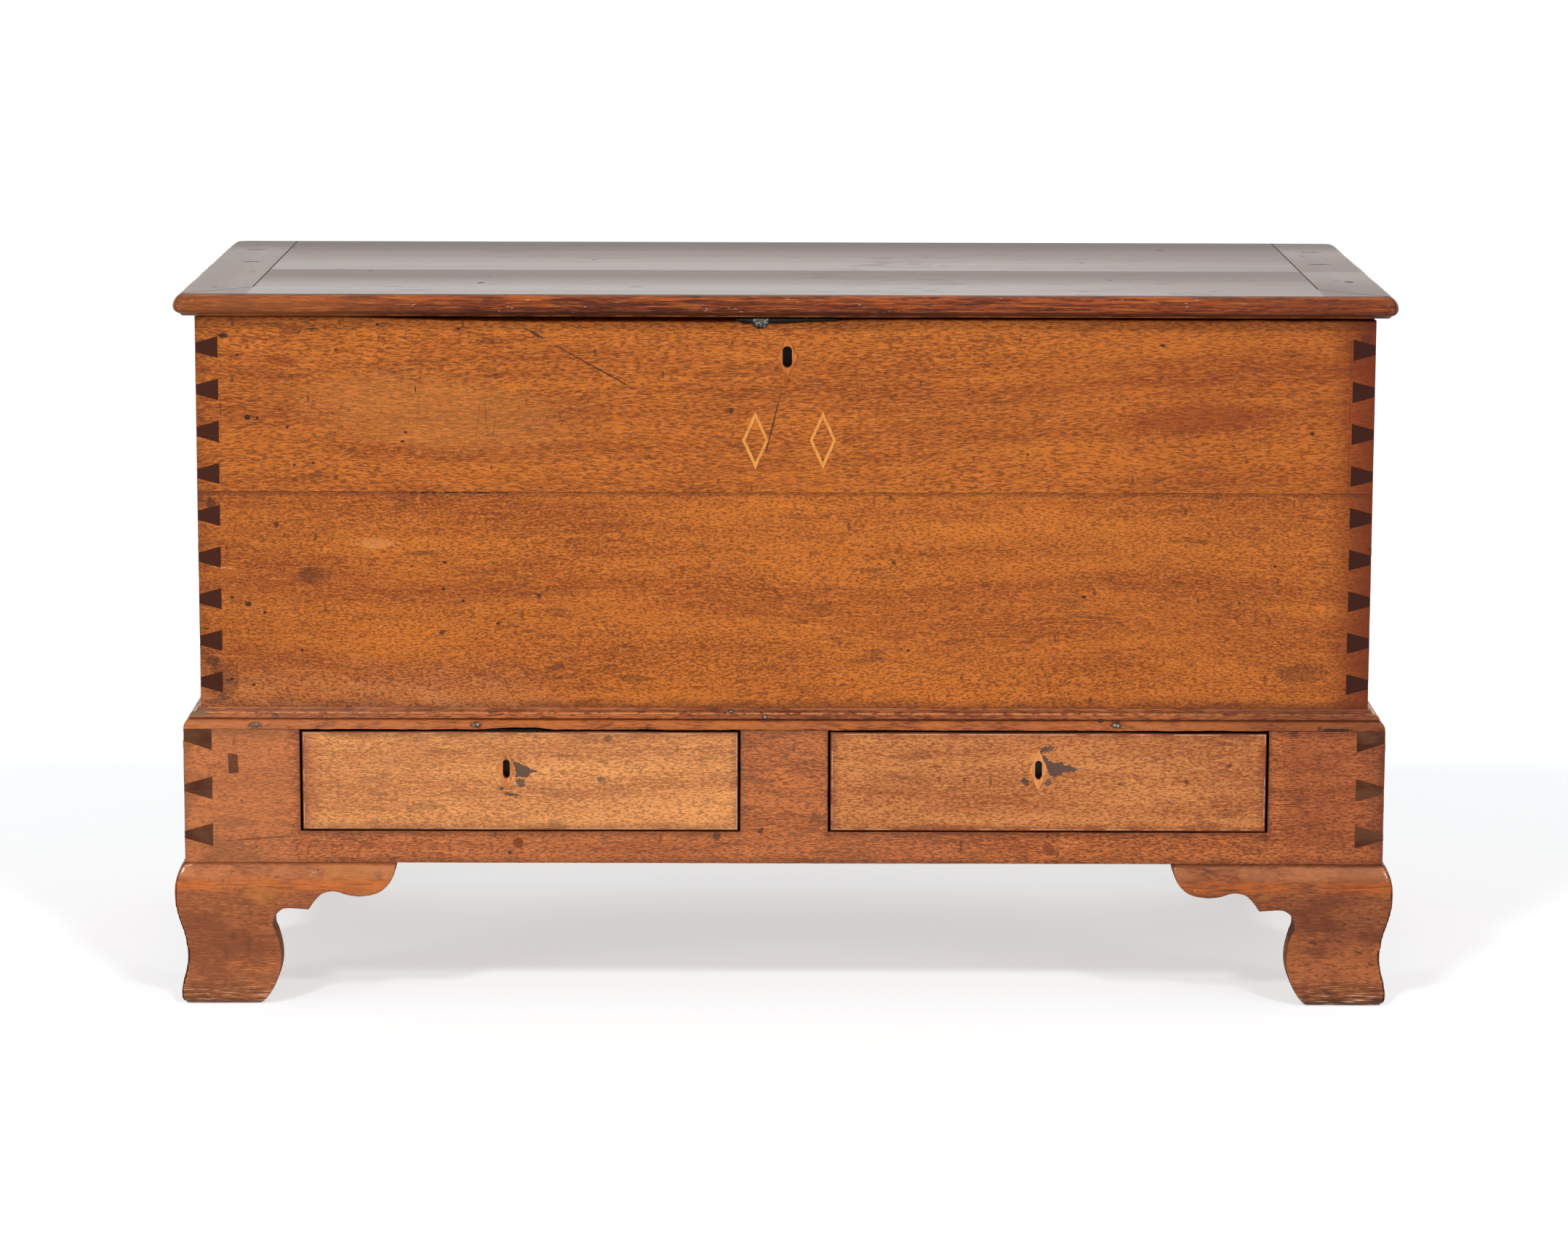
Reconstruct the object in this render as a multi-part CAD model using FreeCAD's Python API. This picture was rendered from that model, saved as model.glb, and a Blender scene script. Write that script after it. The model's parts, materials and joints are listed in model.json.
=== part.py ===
"""Mule chest: a lift-lid chest over two drawers, on ogee bracket feet.

Millimetres. +Z is up, the front faces -Y and +X is to the right, seen from the front.
The origin is on the floor, at the centre of the overall box.
"""

import FreeCAD, Part
import math
import os

Vector = FreeCAD.Vector

# ---------------------------------------------------------------- driving dimensions

# upper case, dovetailed at its four corners
case_width = 1144.0
case_depth = 525.0
case_height = 405.0
case_board = 22.0
back_board = 20.0
front_edge_wear = 3.5
front_lower_height = 232.4
back_lower_height = 210.0
floor_board = 14.0
floor_rise = 10.0
groove_depth = 7.0
floor_count = 3
board_joint = 0.3

# dovetails of the upper case: pins on the sides, tails on the front and back
pin_count = 9
pin_top_margin = 32.0
pin_bottom_margin = 44.0
pin_wide = 20.8
pin_narrow = 9.0

# lid: two boards between end clamps, mitred at the front
lid_thickness = 21.5
lid_overhang = 20.0
lid_clamp_width = 72.0
lid_front_board_depth = 241.0
lid_tongue = 7.0
lid_tongue_length = 14.0
lid_nose_level = 9.0
lid_nose_run = 11.0
lid_nose_return = 6.0
lid_fillet_height = 2.2
lid_fillet_run = 2.6
lid_front_corner = 13.0
lid_back_corner = 22.0
lid_gap = 0.3

# waist moulding, planted round the case on top of the base
moulding_height = 19.6
moulding_reach = 15.5

# base, dovetailed at the front
base_step = 16.0
base_height = 133.0
base_board = 28.0
base_rail = 31.6
base_back_housing = 14.0
centre_stile = 86.0
corner_stile = 114.0
base_bottom_board = 12.0
base_bottom_rebate = 8.0
base_pin_levels = (27.7, 74.5)
base_pin_wide = 22.7
base_pin_narrow = 6.8
base_half_pin_wide = 20.8
base_half_pin_narrow = 11.7

# drawer runners and guides
runner_overlap = 20.0
guide_height = 20.0
guide_width = 27.0
running_gap = 0.3

# ogee bracket feet
foot_height = 142.0
foot_length = 207.0
foot_board = 28.0
foot_bulge = 10.0
foot_toe = 5.0
foot_waist = -0.5
foot_lip = 2.0
back_bracket_length = 130.0
back_bracket_foot = 60.0
glue_block = 32.0
glue_block_short = 8.0
glue_strip = 25.0
glue_strip_length = 80.0

# drawers
drawer_gap = 1.6
drawer_lift = 0.9
drawer_front = 22.0
drawer_side = 10.0
drawer_bottom = 7.0
drawer_bottom_rise = 6.0
drawer_groove = 4.0
drawer_side_drop = 3.5
drawer_back_drop = 10.0
drawer_lap = 5.0
drawer_edge_radius = 1.6
drawer_tail_count = 3
drawer_tail_wide = 23.0
drawer_tail_narrow = 18.0
drawer_pin_wide = 14.0
drawer_pin_narrow = 9.0
drawer_stop_gap = 0.5

# strap hinges
hinge_offset = 330.0
hinge_axis_out = 5.0
knuckle_radius = 4.5
hinge_pin_radius = 2.2
hinge_pin_clearance = 0.05
hinge_width = 34.0
knuckle_middle = 12.0
knuckle_gap = 0.3
leaf_thickness = 3.0
leaf_clear = 5.3
leaf_drop = 75.0
strap_length = 240.0
strap_neck = 9.0
strap_tip = 35.0
strap_lobe = 13.0
let_in = 0.1

# chest lock, with a bolt that slides sideways through two staples on the lid
chest_key_x = 1.7
chest_key_drop = 40.0
chest_lock_length = 90.0
chest_lock_height = 50.0
chest_lock_depth = 14.0
lock_plate = 1.5
chest_selvedge_length = 100.0
chest_selvedge_width = 17.0
selvedge_thickness = 2.0
chest_key_chamber = 28.0
chest_bolt_thickness = 4.0
chest_bolt_bar = 8.0
chest_bolt_tail = 1.5
chest_bolt_heel = 18.0
chest_bolt_slack = 2.0
chest_bolt_throw = 8.0
chest_prong_height = 5.8
chest_riser = 4.0
link_length = 60.0
link_width = 20.0
link_thickness = 2.0
staple_offset = 18.0
staple_thickness = 3.0
staple_width = 8.0
staple_drop = 14.5
staple_web = 1.8
staple_clear = 1.0
eye_clear = 0.3

# drawer locks, with a bolt that rises into the board above
drawer_lock_length = 70.0
drawer_lock_height = 53.4
drawer_lock_depth = 12.0
drawer_bolt_width = 24.0
drawer_bolt_height = 24.2
drawer_bolt_thickness = 3.5
drawer_bolt_throw = 6.0
drawer_key_chamber = 24.0
mortise_clear = 0.8
mortise_depth = 8.0

# keyholes, escutcheons, inlay and pegs
chest_keyhole = (9.2, 21.0)
drawer_keyhole = (7.0, 18.7)
chest_lozenge = (21.0, 44.0)
drawer_lozenge = (18.0, 43.0)
lozenge_thickness = 3.0
drawer_key_drop = 39.0
drawer_key_shift = {"left": -13.7, "right": -9.7}
inlay_size = (26.0, 57.0)
inlay_string = 3.0
inlay_depth = 2.0
inlay_drop = 121.4
inlay_x = (-29.0, 36.6)
peg_diameter = 9.8
peg_length = 18.0
peg_clearance = 0.05
peg_places = ((-261.0, 19.6), (259.0, 16.4))

# ---------------------------------------------------------------- levels and planes

base_bottom = foot_height
base_top = base_bottom + base_height
case_top = base_top + case_height
lid_top = case_top + lid_thickness
rail_top = base_bottom + base_rail

case_half = case_width / 2
case_inner = case_half - case_board
base_half = case_half + base_step
base_inner = base_half - base_board
lid_half = case_half + lid_overhang

overall_depth = foot_bulge + base_step + case_depth + hinge_axis_out + knuckle_radius
case_front = base_step + foot_bulge - overall_depth / 2
case_back = case_front + case_depth
base_front = case_front - base_step
lid_front = case_front - lid_overhang
hinge_y = case_back + hinge_axis_out

opening_width = (2 * base_half - centre_stile - 2 * corner_stile) / 2
opening_centre = (centre_stile + opening_width) / 2


# ---------------------------------------------------------------- shapes

def box(x, y, z):
    """A box between a low and a high value on each axis."""
    low = Vector(min(x), min(y), min(z))
    size = [abs(span[1] - span[0]) for span in (x, y, z)]
    return Part.makeBox(*size, low)


def on_front(y):
    """Places outline points (x, z) on the upright plane at y."""
    return lambda x, z: Vector(x, y, z)


def on_side(x):
    """Places outline points (y, z) on the upright plane at x."""
    return lambda y, z: Vector(x, y, z)


def on_plan(z):
    """Places outline points (x, y) on the level plane at z."""
    return lambda x, y: Vector(x, y, z)


def face(place, start, *steps):
    """A flat face. A step is a point, for a straight edge, or (through, end), for an arc."""
    edges = []
    here = start
    for step in steps + (start,):
        if isinstance(step[0], tuple):
            through, end = step
            edges.append(Part.Arc(place(*here), place(*through), place(*end)).toShape())
        elif math.dist(here, step) > 1e-6:
            end = step
            edges.append(Part.LineSegment(place(*here), place(*end)).toShape())
        here = end
    return Part.Face(Part.Wire(edges))


def upright_arc(extreme, other):
    """The middle of an arc that stands upright at its extreme and ends at other."""
    run = other[0] - extreme[0]
    rise = other[1] - extreme[1]
    radius = (run * run + rise * rise) / (2 * abs(run))
    half_turn = math.asin(min(1.0, abs(rise) / radius)) / 2
    across = math.copysign(radius * (1 - math.cos(half_turn)), run)
    along = math.copysign(radius * math.sin(half_turn), rise)
    return extreme[0] + across, extreme[1] + along


def mirrored(shape):
    """The same shape on the other side of the chest."""
    return shape.mirror(Vector(0, 0, 0), Vector(1, 0, 0))


def group(*shapes):
    return Part.makeCompound(list(shapes))


def lozenge(x, y, z, size, thickness):
    """A rhombus on the front face at y, let in by its thickness."""
    half_width, half_height = size[0] / 2, size[1] / 2
    outline = face(
        on_front(y), (x - half_width, z), (x, z + half_height), (x + half_width, z), (x, z - half_height)
    )
    return outline.extrude(Vector(0, thickness, 0))


def keyhole(x, z, size, y):
    """A round-ended upright slot through y, a low and a high value."""
    radius = size[0] / 2
    straight = size[1] / 2 - radius
    outline = face(
        on_front(y[0]),
        (x - radius, z - straight),
        (x - radius, z + straight),
        ((x, z + straight + radius), (x + radius, z + straight)),
        (x + radius, z - straight),
        ((x, z - straight - radius), (x - radius, z - straight)),
    )
    return outline.extrude(Vector(0, y[1] - y[0], 0))


# ---------------------------------------------------------------- upper case

def case_pins(y):
    """The left side's row of dovetail pins through a board that spans y."""
    rows = []
    pitch = (case_height - pin_top_margin - pin_bottom_margin) / (pin_count - 1)
    for number in range(pin_count):
        level = base_top + pin_bottom_margin + number * pitch
        outline = face(
            on_front(y[0]),
            (-case_inner, level - pin_wide / 2),
            (-case_half, level - pin_narrow / 2),
            (-case_half, level + pin_narrow / 2),
            (-case_inner, level + pin_wide / 2),
        )
        rows.append(outline.extrude(Vector(0, y[1] - y[0], 0)))
    return group(*rows)


def floor_space(slack):
    """The chest floor's box, or the groove that holds it when slack is its clearance."""
    reach = case_inner + groove_depth + slack
    y = (case_front + case_board - groove_depth - slack, case_back - back_board + groove_depth + slack)
    low = base_top + floor_rise - slack
    return box((-reach, reach), y, (low, low + floor_board + 2 * slack))


def case_side():
    """Left side board, with pins at both ends and a stopped groove for the floor."""
    side_top = case_top - lid_gap
    board = box((-case_half, -case_inner), (case_front, case_back), (base_top, side_top))
    corners = (
        (case_front, case_front + case_board),
        (case_back - back_board, case_back),
    )
    for y in corners:
        corner = box((-case_half, -case_inner), y, (base_top, side_top))
        board = board.cut(corner.cut(case_pins(y)))
    return board.cut(floor_space(let_in))


def tail_board(y, z):
    """A front or back board between the case's outer faces, cut for the pins of both sides."""
    pins = case_pins(y)
    board = box((-case_half, case_half), y, z)
    return board.cut(pins).cut(mirrored(pins)).cut(floor_space(let_in))


def case_front_boards():
    y = (case_front, case_front + case_board)
    seam = base_top + front_lower_height
    upper = tail_board(y, (seam, case_top - front_edge_wear))
    lower = tail_board(y, (base_top, seam))
    upper = upper.cut(chest_lock_space()).cut(group(*front_inlay()))
    upper = upper.cut(lozenge(chest_key_x, case_front, chest_key_level, chest_lozenge, lozenge_thickness))
    upper = upper.cut(keyhole(chest_key_x, chest_key_level, chest_keyhole, y))
    for side in drawer_key_shift:
        lower = lower.cut(bolt_mortise(side))
    return upper, lower


def case_back_boards():
    y = (case_back - back_board, case_back)
    seam = base_top + back_lower_height
    return tail_board(y, (seam, case_top - lid_gap)), tail_board(y, (base_top, seam))


def boards_across(x, y, z, count):
    """Boards laid side by side from front to back, with a small joint between them."""
    width = (y[1] - y[0] - (count - 1) * board_joint) / count
    starts = [y[0] + number * (width + board_joint) for number in range(count)]
    return group(*[box(x, (start, start + width), z) for start in starts])


def chest_floor_boards():
    space = floor_space(0).BoundBox
    return boards_across(
        (space.XMin, space.XMax), (space.YMin, space.YMax), (space.ZMin, space.ZMax), floor_count
    )


# ---------------------------------------------------------------- waist moulding

def moulding_outline(place):
    """Section of the waist moulding: ovolo, quirk, band, fillet, cove and top fillet."""
    ovolo_top = (moulding_reach - 5.0, 9.0)
    ovolo_foot = (moulding_reach, 1.0)
    quirk = moulding_reach - 6.4
    band_foot = (moulding_reach - 5.2, 10.2)
    band_top = (moulding_reach - 7.0, 14.4)
    fillet = moulding_reach - 8.2
    cove_top = (2.6, moulding_height - 1.4)
    return face(
        place,
        (0.0, 0.0),
        (moulding_reach, 0.0),
        ovolo_foot,
        ((moulding_reach - 1.0, 5.6), ovolo_top),
        (quirk, ovolo_top[1]),
        (quirk, band_foot[1]),
        band_foot,
        ((band_foot[0] - 0.3, 12.6), band_top),
        (fillet, band_top[1]),
        (fillet, band_top[1] + 1.2),
        ((3.6, band_top[1] + 1.9), cove_top),
        (cove_top[0], moulding_height),
        (0.0, moulding_height),
    )


def mitre(x, y, size, z):
    """Half of plan space by the chest's left front corner: what lies in front of the mitre."""
    outline = face(
        on_plan(z[0]),
        (x - size, y - size),
        (x + size, y + size),
        (x + size, y - size),
    )
    return outline.extrude(Vector(0, 0, z[1] - z[0]))


def waist_moulding():
    """Front run between mitres, and the left run back to the case's back."""
    z = (base_top, base_top + moulding_height)
    half_space = mitre(-case_half, case_front, 2 * case_width, z)
    front_section = moulding_outline(lambda out, up: Vector(-base_half, case_front - out, base_top + up))
    front = front_section.extrude(Vector(2 * base_half, 0, 0))
    front = front.common(half_space).common(mirrored(half_space))
    for side in drawer_key_shift:
        front = front.cut(bolt_mortise(side))
    left_section = moulding_outline(lambda out, up: Vector(-case_half - out, base_front, base_top + up))
    left = left_section.extrude(Vector(0, case_back - base_front, 0)).cut(half_space)
    return front, left


# ---------------------------------------------------------------- base

def base_pins():
    """The left base side's pins through the base front: two whole pins and a half pin on top."""
    y = (base_front, base_front + base_board)
    rows = []
    for level in base_pin_levels:
        middle = base_bottom + level
        rows.append(
            face(
                on_front(y[0]),
                (-base_inner, middle - base_pin_wide / 2),
                (-base_half, middle - base_pin_narrow / 2),
                (-base_half, middle + base_pin_narrow / 2),
                (-base_inner, middle + base_pin_wide / 2),
            )
        )
    rows.append(
        face(
            on_front(y[0]),
            (-base_inner, base_top - base_half_pin_wide),
            (-base_half, base_top - base_half_pin_narrow),
            (-base_half, base_top),
            (-base_inner, base_top),
        )
    )
    return group(*[row.extrude(Vector(0, base_board, 0)) for row in rows])


def base_bottom_space():
    """The bottom boards' box, which is also the rebate that they are nailed into."""
    reach = base_inner + base_bottom_rebate
    y = (base_front + base_board - base_bottom_rebate, case_back - back_board + base_bottom_rebate)
    return box((-reach, reach), y, (base_bottom, base_bottom + base_bottom_board))


def base_front_board():
    """One board with two drawer openings sawn down from its top edge."""
    y = (base_front, base_front + base_board)
    board = box((-base_half, base_half), y, (base_bottom, base_top))
    pins = base_pins()
    board = board.cut(pins).cut(mirrored(pins)).cut(base_bottom_space())
    for side in (-1, 1):
        edges = (side * centre_stile / 2, side * (centre_stile / 2 + opening_width))
        board = board.cut(box(edges, y, (rail_top, base_top)))
    return board.cut(group(*rail_pegs(peg_clearance)))


def base_side():
    """Left base side, with pins at the front and a rebate for the back board."""
    board = box((-base_half, -base_inner), (base_front, case_back), (base_bottom, base_top))
    corner = box((-base_half, -base_inner), (base_front, base_front + base_board), (base_bottom, base_top))
    board = board.cut(corner.cut(base_pins()))
    return board.cut(base_back_board(cut_bottom=False)).cut(base_bottom_space())


def base_back_board(cut_bottom=True):
    reach = base_inner + base_back_housing
    board = box((-reach, reach), (case_back - back_board, case_back), (base_bottom, base_top))
    return board.cut(base_bottom_space()) if cut_bottom else board


def base_bottom_boards():
    space = base_bottom_space().BoundBox
    return boards_across(
        (space.XMin, space.XMax), (space.YMin, space.YMax), (space.ZMin, space.ZMax), floor_count
    )


def runners():
    """Boards under the drawer sides: a wide one in the centre and one at each end."""
    y = (base_front + base_board, case_back - back_board)
    z = (base_bottom + base_bottom_board, rail_top)
    centre = centre_stile / 2 + runner_overlap
    end = centre_stile / 2 + opening_width - runner_overlap
    outer = box((-base_inner, -end), y, z)
    return box((-centre, centre), y, z), group(outer, mirrored(outer))


def guides():
    """Strips on the runners that keep the drawer sides straight."""
    y = (base_front + base_board, case_back - back_board)
    z = (rail_top, rail_top + guide_height)
    centre = centre_stile / 2 + drawer_gap - running_gap
    end = centre_stile / 2 + opening_width - drawer_gap + running_gap
    outer = box((-end - guide_width, -end), y, z)
    return box((-centre, centre), y, z), group(outer, mirrored(outer))


def rail_pegs(clearance=0.0):
    radius = peg_diameter / 2 + clearance
    pegs = []
    for x, rise in peg_places:
        start = Vector(x, base_front, base_bottom + rise)
        pegs.append(Part.makeCylinder(radius, peg_length, start, Vector(0, 1, 0)))
    return pegs


# ---------------------------------------------------------------- feet

def foot_section(place):
    """Ogee section of a foot: bulge above, waist below, and a small toe on the floor."""
    bulge = (foot_bulge, 0.80 * foot_height)
    waist = (foot_waist, 0.33 * foot_height)
    toe = (foot_toe, 0.07 * foot_height)
    shoulder = ((bulge[0] + waist[0]) / 2, (bulge[1] + waist[1]) / 2)
    instep = ((toe[0] + waist[0]) / 2, (toe[1] + waist[1]) / 2)
    lip = (foot_lip, foot_height)
    sole = (foot_lip, 0.0)
    return face(
        place,
        (-foot_board, 0.0),
        sole,
        (upright_arc(toe, sole), toe),
        (upright_arc(toe, instep), instep),
        (upright_arc(waist, instep), waist),
        (upright_arc(waist, shoulder), shoulder),
        (upright_arc(bulge, shoulder), bulge),
        (upright_arc(bulge, lip), lip),
        (-foot_board, foot_height),
    )


def foot_outline():
    """Scrolled outline of a bracket in the plane of the front, as shares of its length and height."""
    def at(along, up):
        return along * foot_length, up * foot_height

    return face(
        on_front(-case_depth),
        (-base_step, 0.0),
        at(0.355, 0.0),
        (at(0.420, 0.130), at(0.453, 0.308)),
        (at(0.446, 0.417), at(0.427, 0.514)),
        (at(0.432, 0.640), at(0.509, 0.685)),
        (at(0.548, 0.679), at(0.587, 0.675)),
        (at(0.611, 0.730), at(0.647, 0.786)),
        (at(0.688, 0.804), at(0.732, 0.799)),
        (at(0.826, 0.770), at(0.919, 0.796)),
        (at(0.972, 0.867), at(1.0, 1.0)),
        (-base_step, foot_height),
    )


def foot_bracket(mitred):
    """A bracket along the front from a corner at the origin: outward is -Y, and it runs to +X."""
    start = -base_step if mitred else 0.0
    section = foot_section(lambda out, up: Vector(start, -out, up))
    blank = section.extrude(Vector(foot_length - start, 0, 0))
    bracket = blank.common(foot_outline().extrude(Vector(0, 2 * case_depth, 0)))
    if mitred:
        bracket = bracket.common(mitre(0.0, 0.0, foot_length, (0.0, foot_height)))
    return bracket


def turned_to_side(bracket):
    """Swaps X and Y, so that a front bracket becomes the left side's."""
    return bracket.mirror(Vector(0, 0, 0), Vector(1, -1, 0))


def front_feet():
    corner = Vector(-base_half, base_front, 0)
    bracket = foot_bracket(mitred=True)
    return bracket.translated(corner), turned_to_side(bracket).translated(corner)


def rear_feet():
    """The left rear foot: an ogee side bracket, and a plain bracket under the back board."""
    side = turned_to_side(foot_bracket(mitred=False)).mirror(Vector(0, 0, 0), Vector(0, 1, 0))
    inner = -base_inner
    arch_top = foot_height - foot_board
    back = face(
        on_front(case_back - back_board),
        (inner, 0.0),
        (inner + back_bracket_foot, 0.0),
        ((inner + 0.62 * back_bracket_length, 0.62 * arch_top), (inner + back_bracket_length, arch_top)),
        (inner + back_bracket_length, foot_height),
        (inner, foot_height),
    )
    return side.translated(Vector(-base_half, case_back, 0)), back.extrude(Vector(0, back_board, 0))


def glue_blocks():
    """Behind each foot: an upright block in the corner and a strip along each bracket."""
    blocks = []
    x = -base_inner
    front = base_front + foot_board
    back = case_back - back_board
    z = (glue_block_short, foot_height)
    strip_z = (foot_height - glue_strip, foot_height)
    for corner, inward in ((front, 1), (back, -1)):
        past_block = corner + inward * glue_block
        blocks.append(box((x, x + glue_block), (corner, past_block), z))
        strip_y = (past_block, past_block + inward * glue_strip_length)
        blocks.append(box((x, x + glue_strip), strip_y, strip_z))
        strip_x = (x + glue_block, x + glue_block + glue_strip_length)
        blocks.append(box(strip_x, (corner, corner + inward * glue_strip), strip_z))
    return group(*blocks, *[mirrored(block) for block in blocks])


# ---------------------------------------------------------------- lid

def lid_edge(place_of):
    """The rounded edge from the lid's top face to its underside, as steps for face()."""
    nose = (0.0, case_top + lid_nose_level)
    top = (lid_nose_run, lid_top)
    under = (lid_nose_return, case_top + lid_fillet_height)
    foot = (lid_nose_return + lid_fillet_run, case_top)
    steps = [
        top,
        (upright_arc(nose, top), nose),
        (upright_arc(nose, under), under),
        foot,
    ]
    return [
        tuple(place_of(point) for point in step) if isinstance(step[0], tuple) else place_of(step)
        for step in steps
    ]


def lid_front_section():
    """The steps of the front edge, on a plane that looks along X."""
    return lid_edge(lambda point: (lid_front + point[0], point[1]))


def lid_corner():
    """The left front corner: the edge's own section, turned through a quarter circle."""
    middle = lid_front + lid_front_corner
    x = lid_front_corner - lid_half
    section = face(on_side(x), *lid_front_section(), (middle, case_top), (middle, lid_top))
    return section.revolve(Vector(x, middle, 0), Vector(0, 0, 1), -90)


def lid_back_waste():
    """What is sawn off the left back corner to round it."""
    x = (-lid_half, lid_back_corner - lid_half)
    y = (case_back - lid_back_corner, case_back)
    kept = Part.makeCylinder(lid_back_corner, lid_thickness, Vector(x[1], y[0], case_top))
    return box(x, y, (case_top, lid_top)).cut(kept)


def lid_blank():
    """The whole lid, moulded at the front and both ends and square at the back, with round corners."""
    section = face(on_side(-lid_half), *lid_front_section(), (case_back, case_top), (case_back, lid_top))
    deep = section.extrude(Vector(2 * lid_half, 0, 0))
    left = lid_edge(lambda point: (point[0] - lid_half, point[1]))
    right = lid_edge(lambda point: (lid_half - point[0], point[1]))
    section = face(on_front(lid_front), *left, *reversed_steps(right))
    blank = deep.common(section.extrude(Vector(0, case_back - lid_front, 0)))
    square = box(
        (-lid_half, lid_front_corner - lid_half), (lid_front, lid_front + lid_front_corner), (case_top, lid_top)
    )
    waste = group(square, lid_back_waste())
    corner = lid_corner()
    blank = blank.cut(waste).cut(mirrored(waste))
    return blank.fuse(corner).fuse(mirrored(corner)).removeSplitter()


def reversed_steps(steps):
    """The same edges walked from the last point back to the first."""
    ends = [step[1] if isinstance(step[0], tuple) else step for step in steps]
    back = [ends[-1]]
    for number in range(len(steps) - 1, 0, -1):
        step = steps[number]
        end = ends[number - 1]
        back.append((step[0], end) if isinstance(step[0], tuple) else end)
    return back


def lid_clamp():
    """Plan shape of the left end clamp: mitred in front, square behind."""
    inner = lid_clamp_width - lid_half
    outline = face(
        on_plan(case_top),
        (-lid_half, lid_front),
        (inner, lid_front + lid_clamp_width),
        (inner, case_back),
        (-lid_half, case_back),
    )
    return outline.extrude(Vector(0, 0, lid_thickness))


def lid_tongues():
    """The tongue on the left end of the lid boards, in its groove in the clamp."""
    inner = lid_clamp_width - lid_half
    middle = case_top + lid_thickness / 2
    z = (middle - lid_tongue / 2, middle + lid_tongue / 2)
    return box((inner - lid_tongue_length, inner), (lid_front + lid_clamp_width, case_back), z)


def lid_boards():
    blank = lid_blank()
    clamp = lid_clamp().cut(lid_tongues())
    ends = group(clamp, mirrored(clamp))
    seam = lid_front + lid_front_board_depth
    boards = blank.cut(ends)
    for side in (-1, 1):
        boards = boards.cut(strap_space(side * hinge_offset))
    front = boards.common(box((-lid_half, lid_half), (lid_front, seam), (case_top, lid_top)))
    back = boards.common(box((-lid_half, lid_half), (seam, case_back), (case_top, lid_top)))
    link = box(
        (chest_key_x - link_length / 2, chest_key_x + link_length / 2),
        (chest_bolt_y - link_width / 2, chest_bolt_y + link_width / 2),
        (case_top, case_top + link_thickness),
    )
    left = blank.common(clamp)
    return front.cut(link), back, left, mirrored(left)


# ---------------------------------------------------------------- hinges

def knuckle(x, span):
    """A length of barrel, without its bore."""
    start = Vector(x + span[0], hinge_y, case_top)
    return Part.makeCylinder(knuckle_radius, span[1] - span[0], start, Vector(1, 0, 0))


def hinge_bore(x):
    radius = hinge_pin_radius + hinge_pin_clearance
    start = Vector(x - hinge_width, hinge_y, case_top)
    return Part.makeCylinder(radius, 2 * hinge_width, start, Vector(1, 0, 0))


def hinge_pin(x):
    start = Vector(x - hinge_width / 2, hinge_y, case_top)
    return Part.makeCylinder(hinge_pin_radius, hinge_width, start, Vector(1, 0, 0))


def case_leaf(x):
    """The leaf on the back of the case, with the two outer knuckles."""
    y = (case_back, case_back + leaf_thickness)
    top = case_top - leaf_clear
    leaf = box((x - hinge_width / 2, x + hinge_width / 2), y, (case_top - leaf_drop, top))
    inner = knuckle_middle / 2 + knuckle_gap
    for span in ((-hinge_width / 2, -inner), (inner, hinge_width / 2)):
        neck = box((x + span[0], x + span[1]), y, (top, case_top))
        leaf = leaf.fuse(neck).fuse(knuckle(x, span))
    return leaf.cut(hinge_bore(x)).removeSplitter()


def strap_outline(x, slack, start):
    """Plan of a strap from start forward: a long taper that ends in a rounded tip."""
    neck = case_back - strap_length + strap_tip
    tip = case_back - strap_length - slack
    root_half = hinge_width / 2 + slack
    neck_half = strap_neck + slack
    lobe = strap_lobe + slack
    return face(
        on_plan(case_top),
        (x - root_half, start),
        (x - neck_half, neck),
        ((x - lobe, neck - 0.55 * strap_tip), (x, tip)),
        ((x + lobe, neck - 0.55 * strap_tip), (x + neck_half, neck)),
        (x + root_half, start),
    )


def strap_space(x):
    return strap_outline(x, let_in, case_back).extrude(Vector(0, 0, leaf_thickness))


def lid_strap(x):
    """The strap let into the underside of the lid, with the middle knuckle."""
    half = knuckle_middle / 2
    strap = strap_outline(x, 0.0, hinge_y - leaf_clear).extrude(Vector(0, 0, leaf_thickness))
    z = (case_top, case_top + leaf_thickness)
    neck = box((x - half, x + half), (hinge_y - leaf_clear, hinge_y), z)
    strap = strap.fuse(neck).fuse(knuckle(x, (-half, half)))
    return strap.cut(hinge_bore(x)).removeSplitter()


# ---------------------------------------------------------------- chest lock

chest_key_level = case_top - chest_key_drop
front_top = case_top - front_edge_wear
chest_lock_top = front_top - selvedge_thickness
chest_lock_y = (case_front + case_board - chest_lock_depth, case_front + case_board)
chest_bolt_y = (chest_lock_y[0] + chest_lock_y[1]) / 2
staple_bottom = case_top - staple_drop
chest_bar_top = staple_bottom - 2.5
chest_bar_bottom = chest_bar_top - chest_bolt_bar
prong_bottom = staple_bottom + staple_web + eye_clear
prong_top = prong_bottom + chest_prong_height
staples = (chest_key_x - staple_offset, chest_key_x + staple_offset)
prong_tip = -staple_thickness / 2 - staple_clear
riser_end = prong_tip - chest_bolt_throw
chest_bolt_x = (
    staples[0] + riser_end - chest_riser - chest_bolt_tail,
    staples[1] + riser_end + chest_bolt_heel,
)


def chest_lock_space():
    """The recess for the lock's case and the selvedge on the front board's top edge."""
    x = (chest_key_x - chest_lock_length / 2, chest_key_x + chest_lock_length / 2)
    case = box(x, chest_lock_y, (chest_lock_top - chest_lock_height, chest_lock_top))
    x = (chest_key_x - chest_selvedge_length / 2, chest_key_x + chest_selvedge_length / 2)
    y = (chest_lock_y[1] - chest_selvedge_width, chest_lock_y[1])
    return case.fuse(box(x, y, (chest_lock_top, front_top)))


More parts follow.
